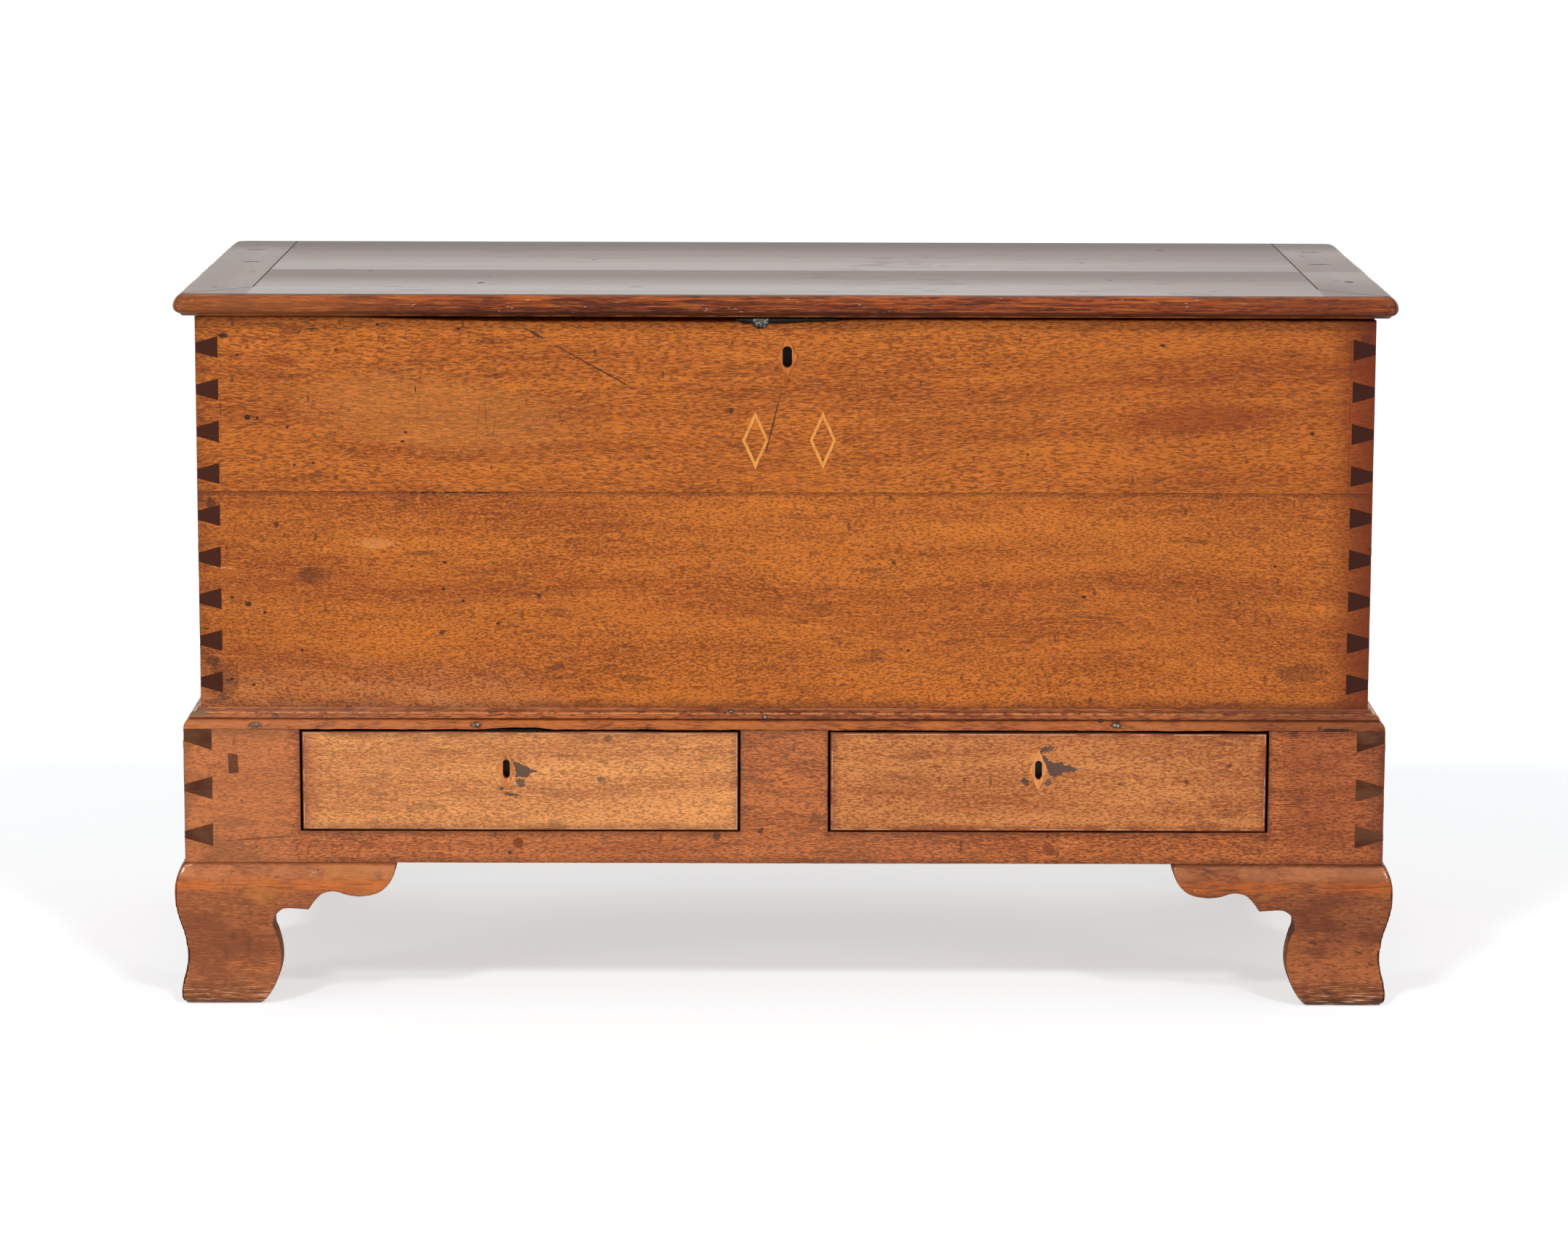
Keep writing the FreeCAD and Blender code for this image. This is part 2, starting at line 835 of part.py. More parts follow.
def chest_lock_case():
    """Iron case: a chamber for the bolt over one for the key, with slots for the staples."""
    y = (chest_lock_y[0] + lock_plate, chest_lock_y[1] - lock_plate)
    x = (chest_bolt_x[0] - chest_bolt_slack, chest_bolt_x[1] + chest_bolt_throw + chest_bolt_slack)
    floor = chest_bar_bottom - running_gap
    case = chest_lock_space().removeSplitter()
    case = case.cut(box(x, y, (floor, chest_lock_top)))
    x = (chest_key_x - chest_key_chamber / 2, chest_key_x + chest_key_chamber / 2)
    case = case.cut(box(x, y, (chest_lock_top - chest_lock_height + lock_plate, floor)))
    for staple in staples:
        half_x = staple_thickness / 2 + staple_clear
        half_y = staple_width / 2 + staple_clear
        slot_y = (chest_bolt_y - half_y, chest_bolt_y + half_y)
        case = case.cut(box((staple - half_x, staple + half_x), slot_y, (chest_lock_top, front_top)))
    hole = keyhole(chest_key_x, chest_key_level, chest_keyhole, (chest_lock_y[0], y[0]))
    return case.cut(hole)


def chest_lock_bolt():
    """A bar with two hooked prongs. They slide into the staples towards +X."""
    steps = [(chest_bolt_x[0], chest_bar_bottom), (chest_bolt_x[0], chest_bar_top)]
    for staple in staples:
        steps += [
            (staple + riser_end - chest_riser, chest_bar_top),
            (staple + riser_end - chest_riser, prong_top),
            (staple + prong_tip, prong_top),
            (staple + prong_tip, prong_bottom),
            (staple + riser_end, prong_bottom),
            (staple + riser_end, chest_bar_top),
        ]
    steps += [(chest_bolt_x[1], chest_bar_top), (chest_bolt_x[1], chest_bar_bottom)]
    outline = face(on_front(chest_bolt_y - chest_bolt_thickness / 2), *steps)
    return outline.extrude(Vector(0, chest_bolt_thickness, 0))


def lid_link_plate():
    """Plate let into the lid's underside, with the two staples that enter the lock."""
    plate = box(
        (chest_key_x - link_length / 2, chest_key_x + link_length / 2),
        (chest_bolt_y - link_width / 2, chest_bolt_y + link_width / 2),
        (case_top, case_top + link_thickness),
    )
    eye_y = (
        chest_bolt_y - chest_bolt_thickness / 2 - eye_clear,
        chest_bolt_y + chest_bolt_thickness / 2 + eye_clear,
    )
    for staple in staples:
        x = (staple - staple_thickness / 2, staple + staple_thickness / 2)
        y = (chest_bolt_y - staple_width / 2, chest_bolt_y + staple_width / 2)
        loop = box(x, y, (staple_bottom, case_top))
        eye = box(x, eye_y, (prong_bottom - eye_clear, prong_top + eye_clear))
        plate = plate.fuse(loop.cut(eye))
    return plate.removeSplitter()


# ---------------------------------------------------------------- inlay

def front_inlay():
    """Two lozenge outlines of light stringing, let into the front."""
    level = case_top - inlay_drop
    slope = math.hypot(*inlay_size) / (inlay_size[0] * inlay_size[1])
    share = 1 - 2 * inlay_string * slope
    hollow = (inlay_size[0] * share, inlay_size[1] * share)
    rings = []
    for x in inlay_x:
        ring = lozenge(x, case_front, level, inlay_size, inlay_depth)
        rings.append(ring.cut(lozenge(x, case_front, level, hollow, inlay_depth)))
    return rings


def chest_escutcheon():
    plate = lozenge(chest_key_x, case_front, chest_key_level, chest_lozenge, lozenge_thickness)
    y = (case_front, case_front + lozenge_thickness)
    return plate.cut(keyhole(chest_key_x, chest_key_level, chest_keyhole, y))


# ---------------------------------------------------------------- drawers

drawer_half = opening_width / 2 - drawer_gap
drawer_y = (base_front, base_front + drawer_front)
drawer_end = case_back - back_board - drawer_stop_gap
drawer_z = (rail_top + drawer_lift, base_top - drawer_gap)
drawer_side_z = (rail_top + running_gap, drawer_z[1] - drawer_side_drop)
drawer_bottom_z = (drawer_side_z[0] + drawer_bottom_rise, drawer_side_z[0] + drawer_bottom_rise + drawer_bottom)
drawer_back_z = (drawer_bottom_z[1], drawer_side_z[1] - drawer_back_drop)
drawer_key_level = base_top - drawer_key_drop
drawer_lock_y = (drawer_y[1] - drawer_lock_depth, drawer_y[1])
drawer_bolt_y = (drawer_y[1] - 5.4, drawer_y[1] - 5.4 + drawer_bolt_thickness)


def key_x(side):
    """Where a drawer's keyhole is, from the middle of the chest."""
    middle = {"left": -opening_centre, "right": opening_centre}[side]
    return middle + drawer_key_shift[side]


def drawer_tails():
    """The left side's tails in the drawer front, lapped behind its face."""
    pitch = (drawer_side_z[1] - drawer_side_z[0]) / drawer_tail_count
    root = drawer_y[1]
    end = drawer_y[0] + drawer_lap
    tails = []
    for number in range(drawer_tail_count):
        level = drawer_side_z[0] + (number + 0.5) * pitch
        outline = face(
            on_side(-drawer_half),
            (root, level - drawer_tail_narrow / 2),
            (end, level - drawer_tail_wide / 2),
            (end, level + drawer_tail_wide / 2),
            (root, level + drawer_tail_narrow / 2),
        )
        tails.append(outline.extrude(Vector(drawer_side, 0, 0)))
    return tails


def drawer_back_pins():
    """The back's pins through the left side."""
    levels = [drawer_back_z[0] + share * (drawer_back_z[1] - drawer_back_z[0]) for share in (0.2, 0.8)]
    pins = []
    for level in levels:
        outline = face(
            on_side(-drawer_half),
            (drawer_end - drawer_side, level - drawer_pin_wide / 2),
            (drawer_end, level - drawer_pin_narrow / 2),
            (drawer_end, level + drawer_pin_narrow / 2),
            (drawer_end - drawer_side, level + drawer_pin_wide / 2),
        )
        pins.append(outline.extrude(Vector(drawer_side, 0, 0)))
    return pins


def drawer_bottom_board():
    reach = drawer_half - drawer_side + drawer_groove
    return box((-reach, reach), (drawer_y[1] - drawer_groove, drawer_end), drawer_bottom_z)


def drawer_lock_space(x):
    half = drawer_lock_length / 2
    top = drawer_z[1]
    return box((x - half, x + half), drawer_lock_y, (top - drawer_lock_height, top))


def drawer_bolt_space(x, slack, z):
    """The drawer bolt's section between two levels, with a clearance round it."""
    half = drawer_bolt_width / 2 + slack
    return box((x - half, x + half), (drawer_bolt_y[0] - slack, drawer_bolt_y[1] + slack), z)


def bolt_mortise(side):
    """The hole over a drawer lock that its bolt rises into."""
    return drawer_bolt_space(key_x(side), mortise_clear, (base_top, base_top + mortise_depth))


def drawer_lock_case(x):
    """Iron case let into the back of the drawer front, open at the top for the bolt."""
    floor = drawer_z[1] - let_in - drawer_bolt_height - running_gap
    y = (drawer_lock_y[0] + lock_plate, drawer_lock_y[1] - lock_plate)
    chamber_x = (x - drawer_key_chamber / 2, x + drawer_key_chamber / 2)
    low = drawer_z[1] - drawer_lock_height + lock_plate
    case = drawer_lock_space(x)
    case = case.cut(box(chamber_x, y, (low, floor)))
    case = case.cut(drawer_bolt_space(x, running_gap, (floor, drawer_z[1])))
    hole = keyhole(x, drawer_key_level, drawer_keyhole, (drawer_lock_y[0], y[0]))
    return case.cut(hole)


def drawer_lock_bolt(x):
    top = drawer_z[1] - let_in
    return drawer_bolt_space(x, 0.0, (top - drawer_bolt_height, top))


def drawer_front_board(x):
    """Front with rounded edges, the side tails' sockets, the lock's recess and the keyhole."""
    board = box((-drawer_half, drawer_half), drawer_y, drawer_z)
    face_edges = [
        edge for edge in board.Edges
        if abs(edge.BoundBox.YMin - drawer_y[0]) < 1e-6 and abs(edge.BoundBox.YMax - drawer_y[0]) < 1e-6
    ]
    board = board.makeFillet(drawer_edge_radius, face_edges)
    tails = group(*drawer_tails())
    board = board.cut(tails).cut(mirrored(tails)).cut(drawer_bottom_board())
    board = board.cut(drawer_lock_space(x))
    board = board.cut(lozenge(x, drawer_y[0], drawer_key_level, drawer_lozenge, lozenge_thickness))
    return board.cut(keyhole(x, drawer_key_level, drawer_keyhole, (drawer_y[0], drawer_lock_y[0])))


def drawer_side_board():
    """Left side: lapped tails in front, sockets for the back's pins behind, a groove below."""
    board = box((-drawer_half, drawer_side - drawer_half), (drawer_y[1], drawer_end), drawer_side_z)
    for tail in drawer_tails():
        board = board.fuse(tail)
    return board.removeSplitter().cut(group(*drawer_back_pins())).cut(drawer_bottom_board())


def drawer_back_board():
    """Back between the sides, over the bottom board, with two pins at each end."""
    reach = drawer_half - drawer_side
    board = box((-reach, reach), (drawer_end - drawer_side, drawer_end), drawer_back_z)
    for pin in drawer_back_pins():
        board = board.fuse(pin).fuse(mirrored(pin))
    return board.removeSplitter()


def drawer_escutcheon(x):
    plate = lozenge(x, drawer_y[0], drawer_key_level, drawer_lozenge, lozenge_thickness)
    return plate.cut(keyhole(x, drawer_key_level, drawer_keyhole, (drawer_y[0], drawer_y[0] + lozenge_thickness)))


def drawer(side):
    """All pieces of one drawer, by node name."""
    x = drawer_key_shift[side]
    left = drawer_side_board()
    pieces = {
        "front": drawer_front_board(x),
        "left_side": left,
        "right_side": mirrored(left),
        "back": drawer_back_board(),
        "bottom": drawer_bottom_board(),
        "lock_case": drawer_lock_case(x),
        "lock_bolt": drawer_lock_bolt(x),
        "escutcheon": drawer_escutcheon(x),
    }
    move = Vector({"left": -opening_centre, "right": opening_centre}[side], 0, 0)
    return {f"{side}_drawer_{name}": piece.translated(move) for name, piece in pieces.items()}


# ---------------------------------------------------------------- the whole chest

def pair(name, left):
    """A left piece and its mirror image on the right."""
    return {f"left_{name}": left, f"right_{name}": mirrored(left)}


def carcase():
    front_upper, front_lower = case_front_boards()
    back_upper, back_lower = case_back_boards()
    front_moulding, left_moulding = waist_moulding()
    centre_runner, outer_runners = runners()
    centre_guide, outer_guides = guides()
    front_bracket, side_bracket = front_feet()
    rear_side_bracket, rear_back_bracket = rear_feet()
    return {
        "front_upper_board": front_upper,
        "front_lower_board": front_lower,
        **pair("case_side", case_side()),
        "back_upper_board": back_upper,
        "back_lower_board": back_lower,
        "chest_floor_boards": chest_floor_boards(),
        "front_waist_moulding": front_moulding,
        **pair("waist_moulding", left_moulding),
        "base_front_board": base_front_board(),
        **pair("base_side", base_side()),
        "base_back_board": base_back_board(),
        "base_bottom_boards": base_bottom_boards(),
        "centre_runner": centre_runner,
        "outer_runners": outer_runners,
        "centre_guide": centre_guide,
        "outer_guides": outer_guides,
        **pair("front_foot_front_bracket", front_bracket),
        **pair("front_foot_side_bracket", side_bracket),
        **pair("rear_foot_side_bracket", rear_side_bracket),
        **pair("rear_foot_back_bracket", rear_back_bracket),
        "foot_glue_blocks": glue_blocks(),
        "rail_pegs": group(*rail_pegs()),
        "front_inlay": group(*front_inlay()),
        "chest_escutcheon": chest_escutcheon(),
        "chest_lock_case": chest_lock_case(),
        "hinge_case_leaves": group(case_leaf(-hinge_offset), case_leaf(hinge_offset)),
        "hinge_pins": group(hinge_pin(-hinge_offset), hinge_pin(hinge_offset)),
    }


def lid():
    front, back, left_clamp, right_clamp = lid_boards()
    return {
        "lid_front_board": front,
        "lid_back_board": back,
        "lid_left_clamp": left_clamp,
        "lid_right_clamp": right_clamp,
        "lid_left_strap": lid_strap(-hinge_offset),
        "lid_right_strap": lid_strap(hinge_offset),
        "lid_link_plate": lid_link_plate(),
    }


nodes = {
    **carcase(),
    **lid(),
    **drawer("left"),
    **drawer("right"),
    "chest_lock_bolt": chest_lock_bolt(),
}

os.makedirs("parts", exist_ok=True)
for name, shape in nodes.items():
    shape.exportStep(f"parts/{name}.step")
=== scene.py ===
"""Mule chest in old waxed mahogany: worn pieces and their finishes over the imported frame.

Metres, and millimetres in the rows that give marks. +Z is up, the front faces -Y, +X is to its right.
"""

import json
import math

import bmesh
import bpy
from mathutils import Matrix, Vector, noise
from mathutils.geometry import intersect_point_line


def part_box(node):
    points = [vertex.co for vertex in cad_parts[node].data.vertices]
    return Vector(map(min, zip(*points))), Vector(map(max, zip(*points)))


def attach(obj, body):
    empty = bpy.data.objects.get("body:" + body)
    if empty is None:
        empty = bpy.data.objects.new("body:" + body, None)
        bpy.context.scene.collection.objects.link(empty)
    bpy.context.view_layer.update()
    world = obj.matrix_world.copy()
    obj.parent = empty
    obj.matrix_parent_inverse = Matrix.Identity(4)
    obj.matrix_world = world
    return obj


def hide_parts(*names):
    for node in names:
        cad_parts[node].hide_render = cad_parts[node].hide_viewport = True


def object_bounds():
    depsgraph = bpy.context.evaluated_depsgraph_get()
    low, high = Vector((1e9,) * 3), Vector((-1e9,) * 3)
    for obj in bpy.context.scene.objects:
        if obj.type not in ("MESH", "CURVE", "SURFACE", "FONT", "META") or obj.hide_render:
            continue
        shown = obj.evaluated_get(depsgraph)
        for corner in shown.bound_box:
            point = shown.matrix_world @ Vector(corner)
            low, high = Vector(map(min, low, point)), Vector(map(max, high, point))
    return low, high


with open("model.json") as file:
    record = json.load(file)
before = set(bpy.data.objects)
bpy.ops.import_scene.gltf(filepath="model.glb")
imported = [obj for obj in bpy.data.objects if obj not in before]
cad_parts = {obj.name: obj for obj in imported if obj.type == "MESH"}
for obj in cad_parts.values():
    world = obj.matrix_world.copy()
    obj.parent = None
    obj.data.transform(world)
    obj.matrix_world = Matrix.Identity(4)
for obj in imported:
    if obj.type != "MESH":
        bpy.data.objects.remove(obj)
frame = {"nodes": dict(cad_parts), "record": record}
cad_low, cad_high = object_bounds()

MM = 0.001
body_of = {node: body for body, nodes in frame["record"]["behaviour"]["bodies"].items() for node in nodes}

# planes of the chest
case = {"front": -0.25425, "back": 0.27075, "side": 0.572, "bottom": 0.275}
case |= {"seam": 0.5074, "back_seam": 0.485}
base = {"front": -0.27025, "side": 0.588, "bottom": 0.142, "top": 0.275}
lid = {"front": -0.27425, "side": 0.592, "under": 0.680, "top": 0.7015, "clamp": 0.520, "joint": -0.03325}
drawer = {"centre": 0.2585, "half": 0.2139, "bottom": 0.1745, "top": 0.2734}
drawer |= {"inner": 0.0446, "outer": 0.4724}

# camera: where it stands, and its pan, tilt and roll in degrees
CAMERA_PLACE = (-0.0124, -5.1413, 1.216)
CAMERA_TURNS = ((-0.137, "Z"), (90 - 9.772, "X"), (0.165, "Z"))


def show(thing):
    bpy.context.scene.collection.objects.link(thing)
    return thing


def stand_camera():
    camera = show(bpy.data.objects.new("camera", bpy.data.cameras.new("camera")))
    camera.data.sensor_width, camera.data.lens, camera.data.clip_end = 36, 116.5, 100
    pan, tilt, roll = (Matrix.Rotation(math.radians(angle), 4, axis) for angle, axis in CAMERA_TURNS)
    camera.matrix_world = Matrix.Translation(CAMERA_PLACE) @ pan @ tilt @ roll
    bpy.context.scene.camera = camera


# ---- finishes


def paint(red, green, blue):
    """A colour given by its screen values, 0 to 255."""

    def linear(value):
        value /= 255
        return value / 12.92 if value <= 0.04045 else ((value + 0.055) / 1.055) ** 2.4

    return (linear(red), linear(green), linear(blue), 1.0)


class Wire:
    """A socket of a finish. Sums written on it become Math nodes."""

    def __init__(self, tree, socket):
        self.tree, self.socket = tree, socket

    def sum(self, operation, *values):
        return add_node(self.tree, "Math", {"operation": operation}, *values)

    def __add__(self, other):
        return self.sum("ADD", self, other)

    def __radd__(self, other):
        return self.sum("ADD", other, self)

    def __sub__(self, other):
        return self.sum("SUBTRACT", self, other)

    def __rsub__(self, other):
        return self.sum("SUBTRACT", other, self)

    def __mul__(self, other):
        return self.sum("MULTIPLY", self, other)

    def __rmul__(self, other):
        return self.sum("MULTIPLY", other, self)

    def __truediv__(self, other):
        return self.sum("DIVIDE", self, other)

    def __abs__(self):
        return self.sum("ABSOLUTE", self)

    def most(self, other):
        return self.sum("MAXIMUM", self, other)

    def least(self, other):
        return self.sum("MINIMUM", self, other)

    def step(self, start, stop):
        """0 below start and 1 above stop, or the other way round."""
        if start > stop:
            return 1 - self.step(stop, start)
        return add_node(self.tree, "MapRange", {"interpolation_type": "SMOOTHSTEP"}, self, start, stop)


def add_node(tree, kind, settings, *values, output=0, **named):
    """Adds a shader node: its settings come first, then the values or wires of its sockets."""
    node = tree.nodes.new("ShaderNode" + kind)
    for key, value in settings.items():
        setattr(node, key, value)
    for place, value in [*enumerate(values), *named.items()]:
        socket = node.inputs[place.replace("_", " ") if isinstance(place, str) else place]
        if isinstance(value, Wire):
            tree.links.new(value.socket, socket)
        elif value is not None:
            socket.default_value = value
    return Wire(tree, node.outputs[output])


def split(vector):
    """The x, y and z of a vector's wire."""
    node = vector.tree.nodes.new("ShaderNodeSeparateXYZ")
    vector.tree.links.new(vector.socket, node.inputs[0])
    return [Wire(vector.tree, socket) for socket in node.outputs]


def bare_tree(holder):
    holder.use_nodes = True
    holder.node_tree.nodes.clear()
    return holder.node_tree


def lead_out(shader, kind="Material"):
    out = shader.tree.nodes.new("ShaderNodeOutput" + kind)
    shader.tree.links.new(shader.socket, out.inputs[0])


class Finish:
    """A material that is built up in coats: colour, roughness and relief (in millimetres)."""

    def __init__(self, name):
        self.material = bpy.data.materials.new(name)
        self.tree = bare_tree(self.material)
        self.place = self.node("TexCoord", {}, output="Object")
        self.x, self.y, self.z = split(self.place)
        self.colour, self.rough, self.relief = (0.5, 0.5, 0.5, 1.0), 0.4, None

    def node(self, kind, settings, *values, output=0, **named):
        return add_node(self.tree, kind, settings, *values, output=output, **named)

    def mix(self, amount, under, over):
        unused = [None] * 5
        return self.node("Mix", {"data_type": "RGBA"}, amount, *unused, under, over, output=2)

    def cloud(self, place, detail=2.0, grain=0.5):
        """Noise round 0.5; place is three wires or numbers, one unit to a lump."""
        at = self.node("CombineXYZ", {}, *place)
        return self.node("TexNoise", {}, Vector=at, Scale=1.0, Detail=detail, Roughness=grain)

    def cells(self, place, feature="F1"):
        at = self.node("CombineXYZ", {}, *place)
        return self.node("TexVoronoi", {"feature": feature}, Vector=at, Scale=1.0)

    def facing(self, axis):
        """1 on faces square to the axis, seen on the piece itself."""
        return abs(split(self.node("TexCoord", {}, output="Normal"))["xyz".index(axis)])

    def lay(self, mask, colour=None, rough=None, depth=None):
        """Lays a coat where the mask is 1: a colour, a roughness to reach, a depth in mm to sink."""
        if colour is not None:
            self.colour = self.mix(mask, self.colour, colour)
        if rough is not None:
            self.rough = self.rough + mask * (rough - self.rough)
        if depth is not None:
            sunk = mask * -depth
            self.relief = sunk if self.relief is None else self.relief + sunk

    def close(self, metallic=0.0, coat=0.0, coat_rough=0.2, specular=0.5):
        bump = self.relief and self.node("Bump", {}, Strength=1.0, Distance=MM, Height=self.relief)
        lead_out(self.node(
            "BsdfPrincipled", {}, Base_Color=self.colour, Roughness=self.rough, Metallic=metallic,
            Coat_Weight=coat, Coat_Roughness=coat_rough, Specular_IOR_Level=specular, Normal=bump,
        ))
        return self.material


# ---- wood


def scaled(colour, *shares):
    return (*(value * share for value, share in zip(colour, shares)), 1)


def board(name, along, light, dark, pore, fleck=(75, 1150), offset=0.0, rough=0.36, flecks=0.75,
          end_grain=0.95):
    """A board's own wood: ribbons, fibre and open pores along its grain, dark on its ends.

    fleck is how many pores there are to a metre along the grain and across; flecks is how dark they are.
    """
    wood = Finish(name)
    light, dark, pore = (paint(*colour) for colour in (light, dark, pore))
    ways = {"x": (wood.x, wood.z, wood.y), "y": (wood.y, wood.z, wood.x), "z": (wood.z, wood.x, wood.y)}
    run, rise, deep = ways[along]
    run, rise = run + offset, rise + offset * 0.37
    sway = wood.cloud((run * 2.3, rise * 6, deep * 6), 1.0) - 0.5
    ripple = wood.cloud((run * 16, rise * 30, deep * 30), 1.0) - 0.5
    rise = rise + sway * 0.05 + ripple * 0.006
    deep = deep + sway * 0.03
    ribbon = wood.cloud((run * 1.3, rise * 34, deep * 34), 3.0)
    cloud = wood.cloud((run * 5, rise * 38, deep * 38), 3.0)
    fibre = wood.cloud((run * 34, rise * 620, deep * 620), 2.0, 0.6)
    pores = wood.cloud((run * fleck[0], rise * fleck[1], deep * fleck[1]), 1.5, 0.6)
    fine = wood.cloud((run * fleck[0] * 0.7, rise * fleck[1] * 0.8 + 40, deep * fleck[1] * 0.8), 1.0)
    shade = (ribbon * 0.5 + cloud * 0.5).step(0.32, 0.68)
    wood.colour = wood.mix(shade, dark, light)
    bright = (*(min(1.0, value * 1.2 + 0.012) for value in light[:3]), 1)
    wood.lay(fibre.step(0.47, 0.66) * 0.55, bright)
    wood.lay(fine.step(0.52, 0.66) * 0.5, bright)
    open_pores = (pores + (cloud - 0.5) * -0.12).step(0.49, 0.57)
    wood.lay(open_pores * flecks, pore)
    wood.rough = rough + (cloud - 0.5) * 0.14
    wood.lay(open_pores, rough=0.5, depth=0.06)
    wood.relief = wood.relief + fibre * 0.04
    ends = wood.facing(along).step(0.75, 0.92)
    pith = wood.cloud((wood.x * 160, wood.y * 160, wood.z * 700), 2.0)
    cut_end = wood.mix(pith.step(0.35, 0.65), scaled(pore, 0.35, 0.28, 0.4), scaled(pore, 0.85, 0.8, 0.9))
    wood.lay(ends * end_grain, cut_end, rough=0.75)
    wood.pores, wood.shade, wood.ends = open_pores, shade, ends
    wood.run, wood.rise, wood.deep = run, rise, deep
    # a mottled noise that breaks up dirt and wear, and also painted shade and painted highlights
    wood.grime = wood.cloud((wood.x * 30, wood.y * 30, wood.z * 60), 3.0, 0.6)
    wood.spill = wood.cloud((wood.x * 150, wood.y * 150, wood.z * 150), 2.0) - 0.5
    wood.fray = wood.cloud((wood.x * 520, wood.y * 520, wood.z * 900), 1.0) - 0.5
    return wood


def waxed(wood, amount, specular):
    """Closes a finish under a thin coat of wax that leaves the ends dry."""
    return wood.close(coat=(1 - wood.ends) * amount, coat_rough=0.16, specular=specular)


INK = paint(34, 20, 16)
SOIL = paint(74, 34, 20)
SHADE = paint(34, 18, 12)


def bruise(wood, scale=20.0, size=0.085, seed=0.0, colour=INK, amount=0.8):
    """Small dark dents, each of its own size, scattered over a board."""
    reach = wood.cells((wood.x * scale + seed, wood.y * scale, wood.z * scale))
    reach = reach + wood.spill * 0.12 + wood.fray * size * 1.2
    wood.lay(reach.step(size, size * 0.45) * amount, colour, rough=0.6, depth=0.25)


def scuff(wood, amount=0.5, seed=0.0, colour=SOIL):
    """Ragged darker smudges along the grain."""
    smear = wood.cloud((wood.run * 26 + seed, wood.rise * 120, wood.deep * 120), 3.0, 0.6)
    where = wood.cloud((wood.x * 6 + seed, wood.y * 6, wood.z * 6), 1.0)
    wood.lay((smear + (where - 0.5) * 0.5).step(0.62, 0.72) * amount, colour, rough=0.45)


def nicks(wood, amount=0.6, seed=0.0):
    """Short dark dashes across the grain."""
    reach = wood.cells((wood.x * 44 + seed, wood.y * 44, wood.z * 17)) + wood.spill * 0.1
    wood.lay(reach.step(0.085, 0.05) * amount, SOIL, rough=0.5, depth=0.15)


def hairlines(wood, amount, seed=0.0):
    """Fine straight scratches, all leaning about one way, that start and stop."""
    cosine, sine, pitch = 0.8, 0.6, 9.0
    across = wood.x * cosine + wood.z * sine + wood.y * sine
    down = wood.z * cosine - wood.x * sine + wood.y * cosine
    line = wood.cells((across * pitch * 0.35 + seed, down * pitch, seed), "DISTANCE_TO_EDGE")
    where = wood.cloud((wood.x * 11 + seed, wood.y * 11, wood.z * 11), 2.0)
    mask = line.step(0.006, 0.002) * where.step(0.52, 0.60)
    wood.lay(mask * amount, SOIL, depth=0.1)


# marks on the front reach the faces of case, moulding and base
MARKS_AT, MARKS_REACH = -0.262, 0.018


def dash(wood, x, z, length, width, lean=0, on_top=False):
    """1 inside a ragged oval mark: its middle, half its length and width (mm), its lean (degrees)."""
    x, z, length, width, lean = x * MM, z * MM, length * MM, width * MM, math.radians(lean)
    if on_top:
        where, turn, size = (x, z, lid["top"]), (0, 0, lean), (length, width, 0.006)
    else:
        where, turn, size = (x, MARKS_AT, z), (0, -lean, 0), (length, MARKS_REACH, width)
    at = wood.node("Mapping", {"vector_type": "TEXTURE"}, wood.place, where, turn, size)
    reach = wood.node("VectorMath", {"operation": "LENGTH"}, at, output="Value")
    return (reach + wood.spill * 0.8 + wood.fray * 1.1).step(1.05, 0.75)


def stroke(wood, x, z, to_x, to_z, width):
    """1 along a line scratched on the front, from one place to the other (mm)."""
    lean = math.degrees(math.atan2(to_z - z, to_x - x))
    return dash(wood, (x + to_x) / 2, (z + to_z) / 2, math.hypot(to_x - x, to_z - z) / 2, width, lean)


def wedge(wood, *corners, ragged=0.002):
    """1 inside a sharp outline on the front, its corners given in turn (mm)."""
    corners = [(x * MM, z * MM) for x, z in corners]
    middle = [sum(corner[axis] for corner in corners) / len(corners) for axis in (0, 1)]
    reach = None
    for start, stop in zip(corners, corners[1:] + corners[:1]):
        out = Vector((stop[1] - start[1], 0, start[0] - stop[0])).normalized()
        if out.x * (middle[0] - start[0]) + out.z * (middle[1] - start[1]) > 0:
            out.negate()
        along = wood.node("VectorMath", {"operation": "DOT_PRODUCT"}, wood.place, out, output="Value")
        past = along - (out.x * start[0] + out.z * start[1])
        reach = past if reach is None else reach.most(past)
    front = wood.y.step(case["front"] + 0.002, case["front"] - 0.0005)
    return (reach + wood.spill * ragged).step(0.0004, 0.0) * front


def marked(wood, marks, colour=INK, amount=0.75, depth=0.15, rough=0.5, on_top=False):
    """Lays all the marks of one kind in one coat. A mark is a mask, or a row of a dash's numbers."""
    masks = [mark if isinstance(mark, Wire) else dash(wood, *mark, on_top=on_top) for mark in marks]
    mask = masks[0]
    for other in masks[1:]:
        mask = mask.most(other)
    wood.lay(mask * amount, colour, rough=rough, depth=depth)


def holes(wood, *marks):
    """Deep dark holes of worm, nails and knocks."""
    marked(wood, marks, amount=0.9, depth=0.4, rough=0.7)


def inside(wood, low, high, across):
    """How far a place lies within a rectangle, across and up."""
    return (across - low[0]).least(high[0] - across).least((wood.z - low[1]).least(high[1] - wood.z))


def rim(wood, low, high, reach, across):
    """1 at the rim of a rectangle, fading inwards over the reach."""
    near = inside(wood, low, high, across)
    return (near + (wood.grime - 0.5) * reach * 1.6).step(reach, 0.0)


# ---- the chest's finishes

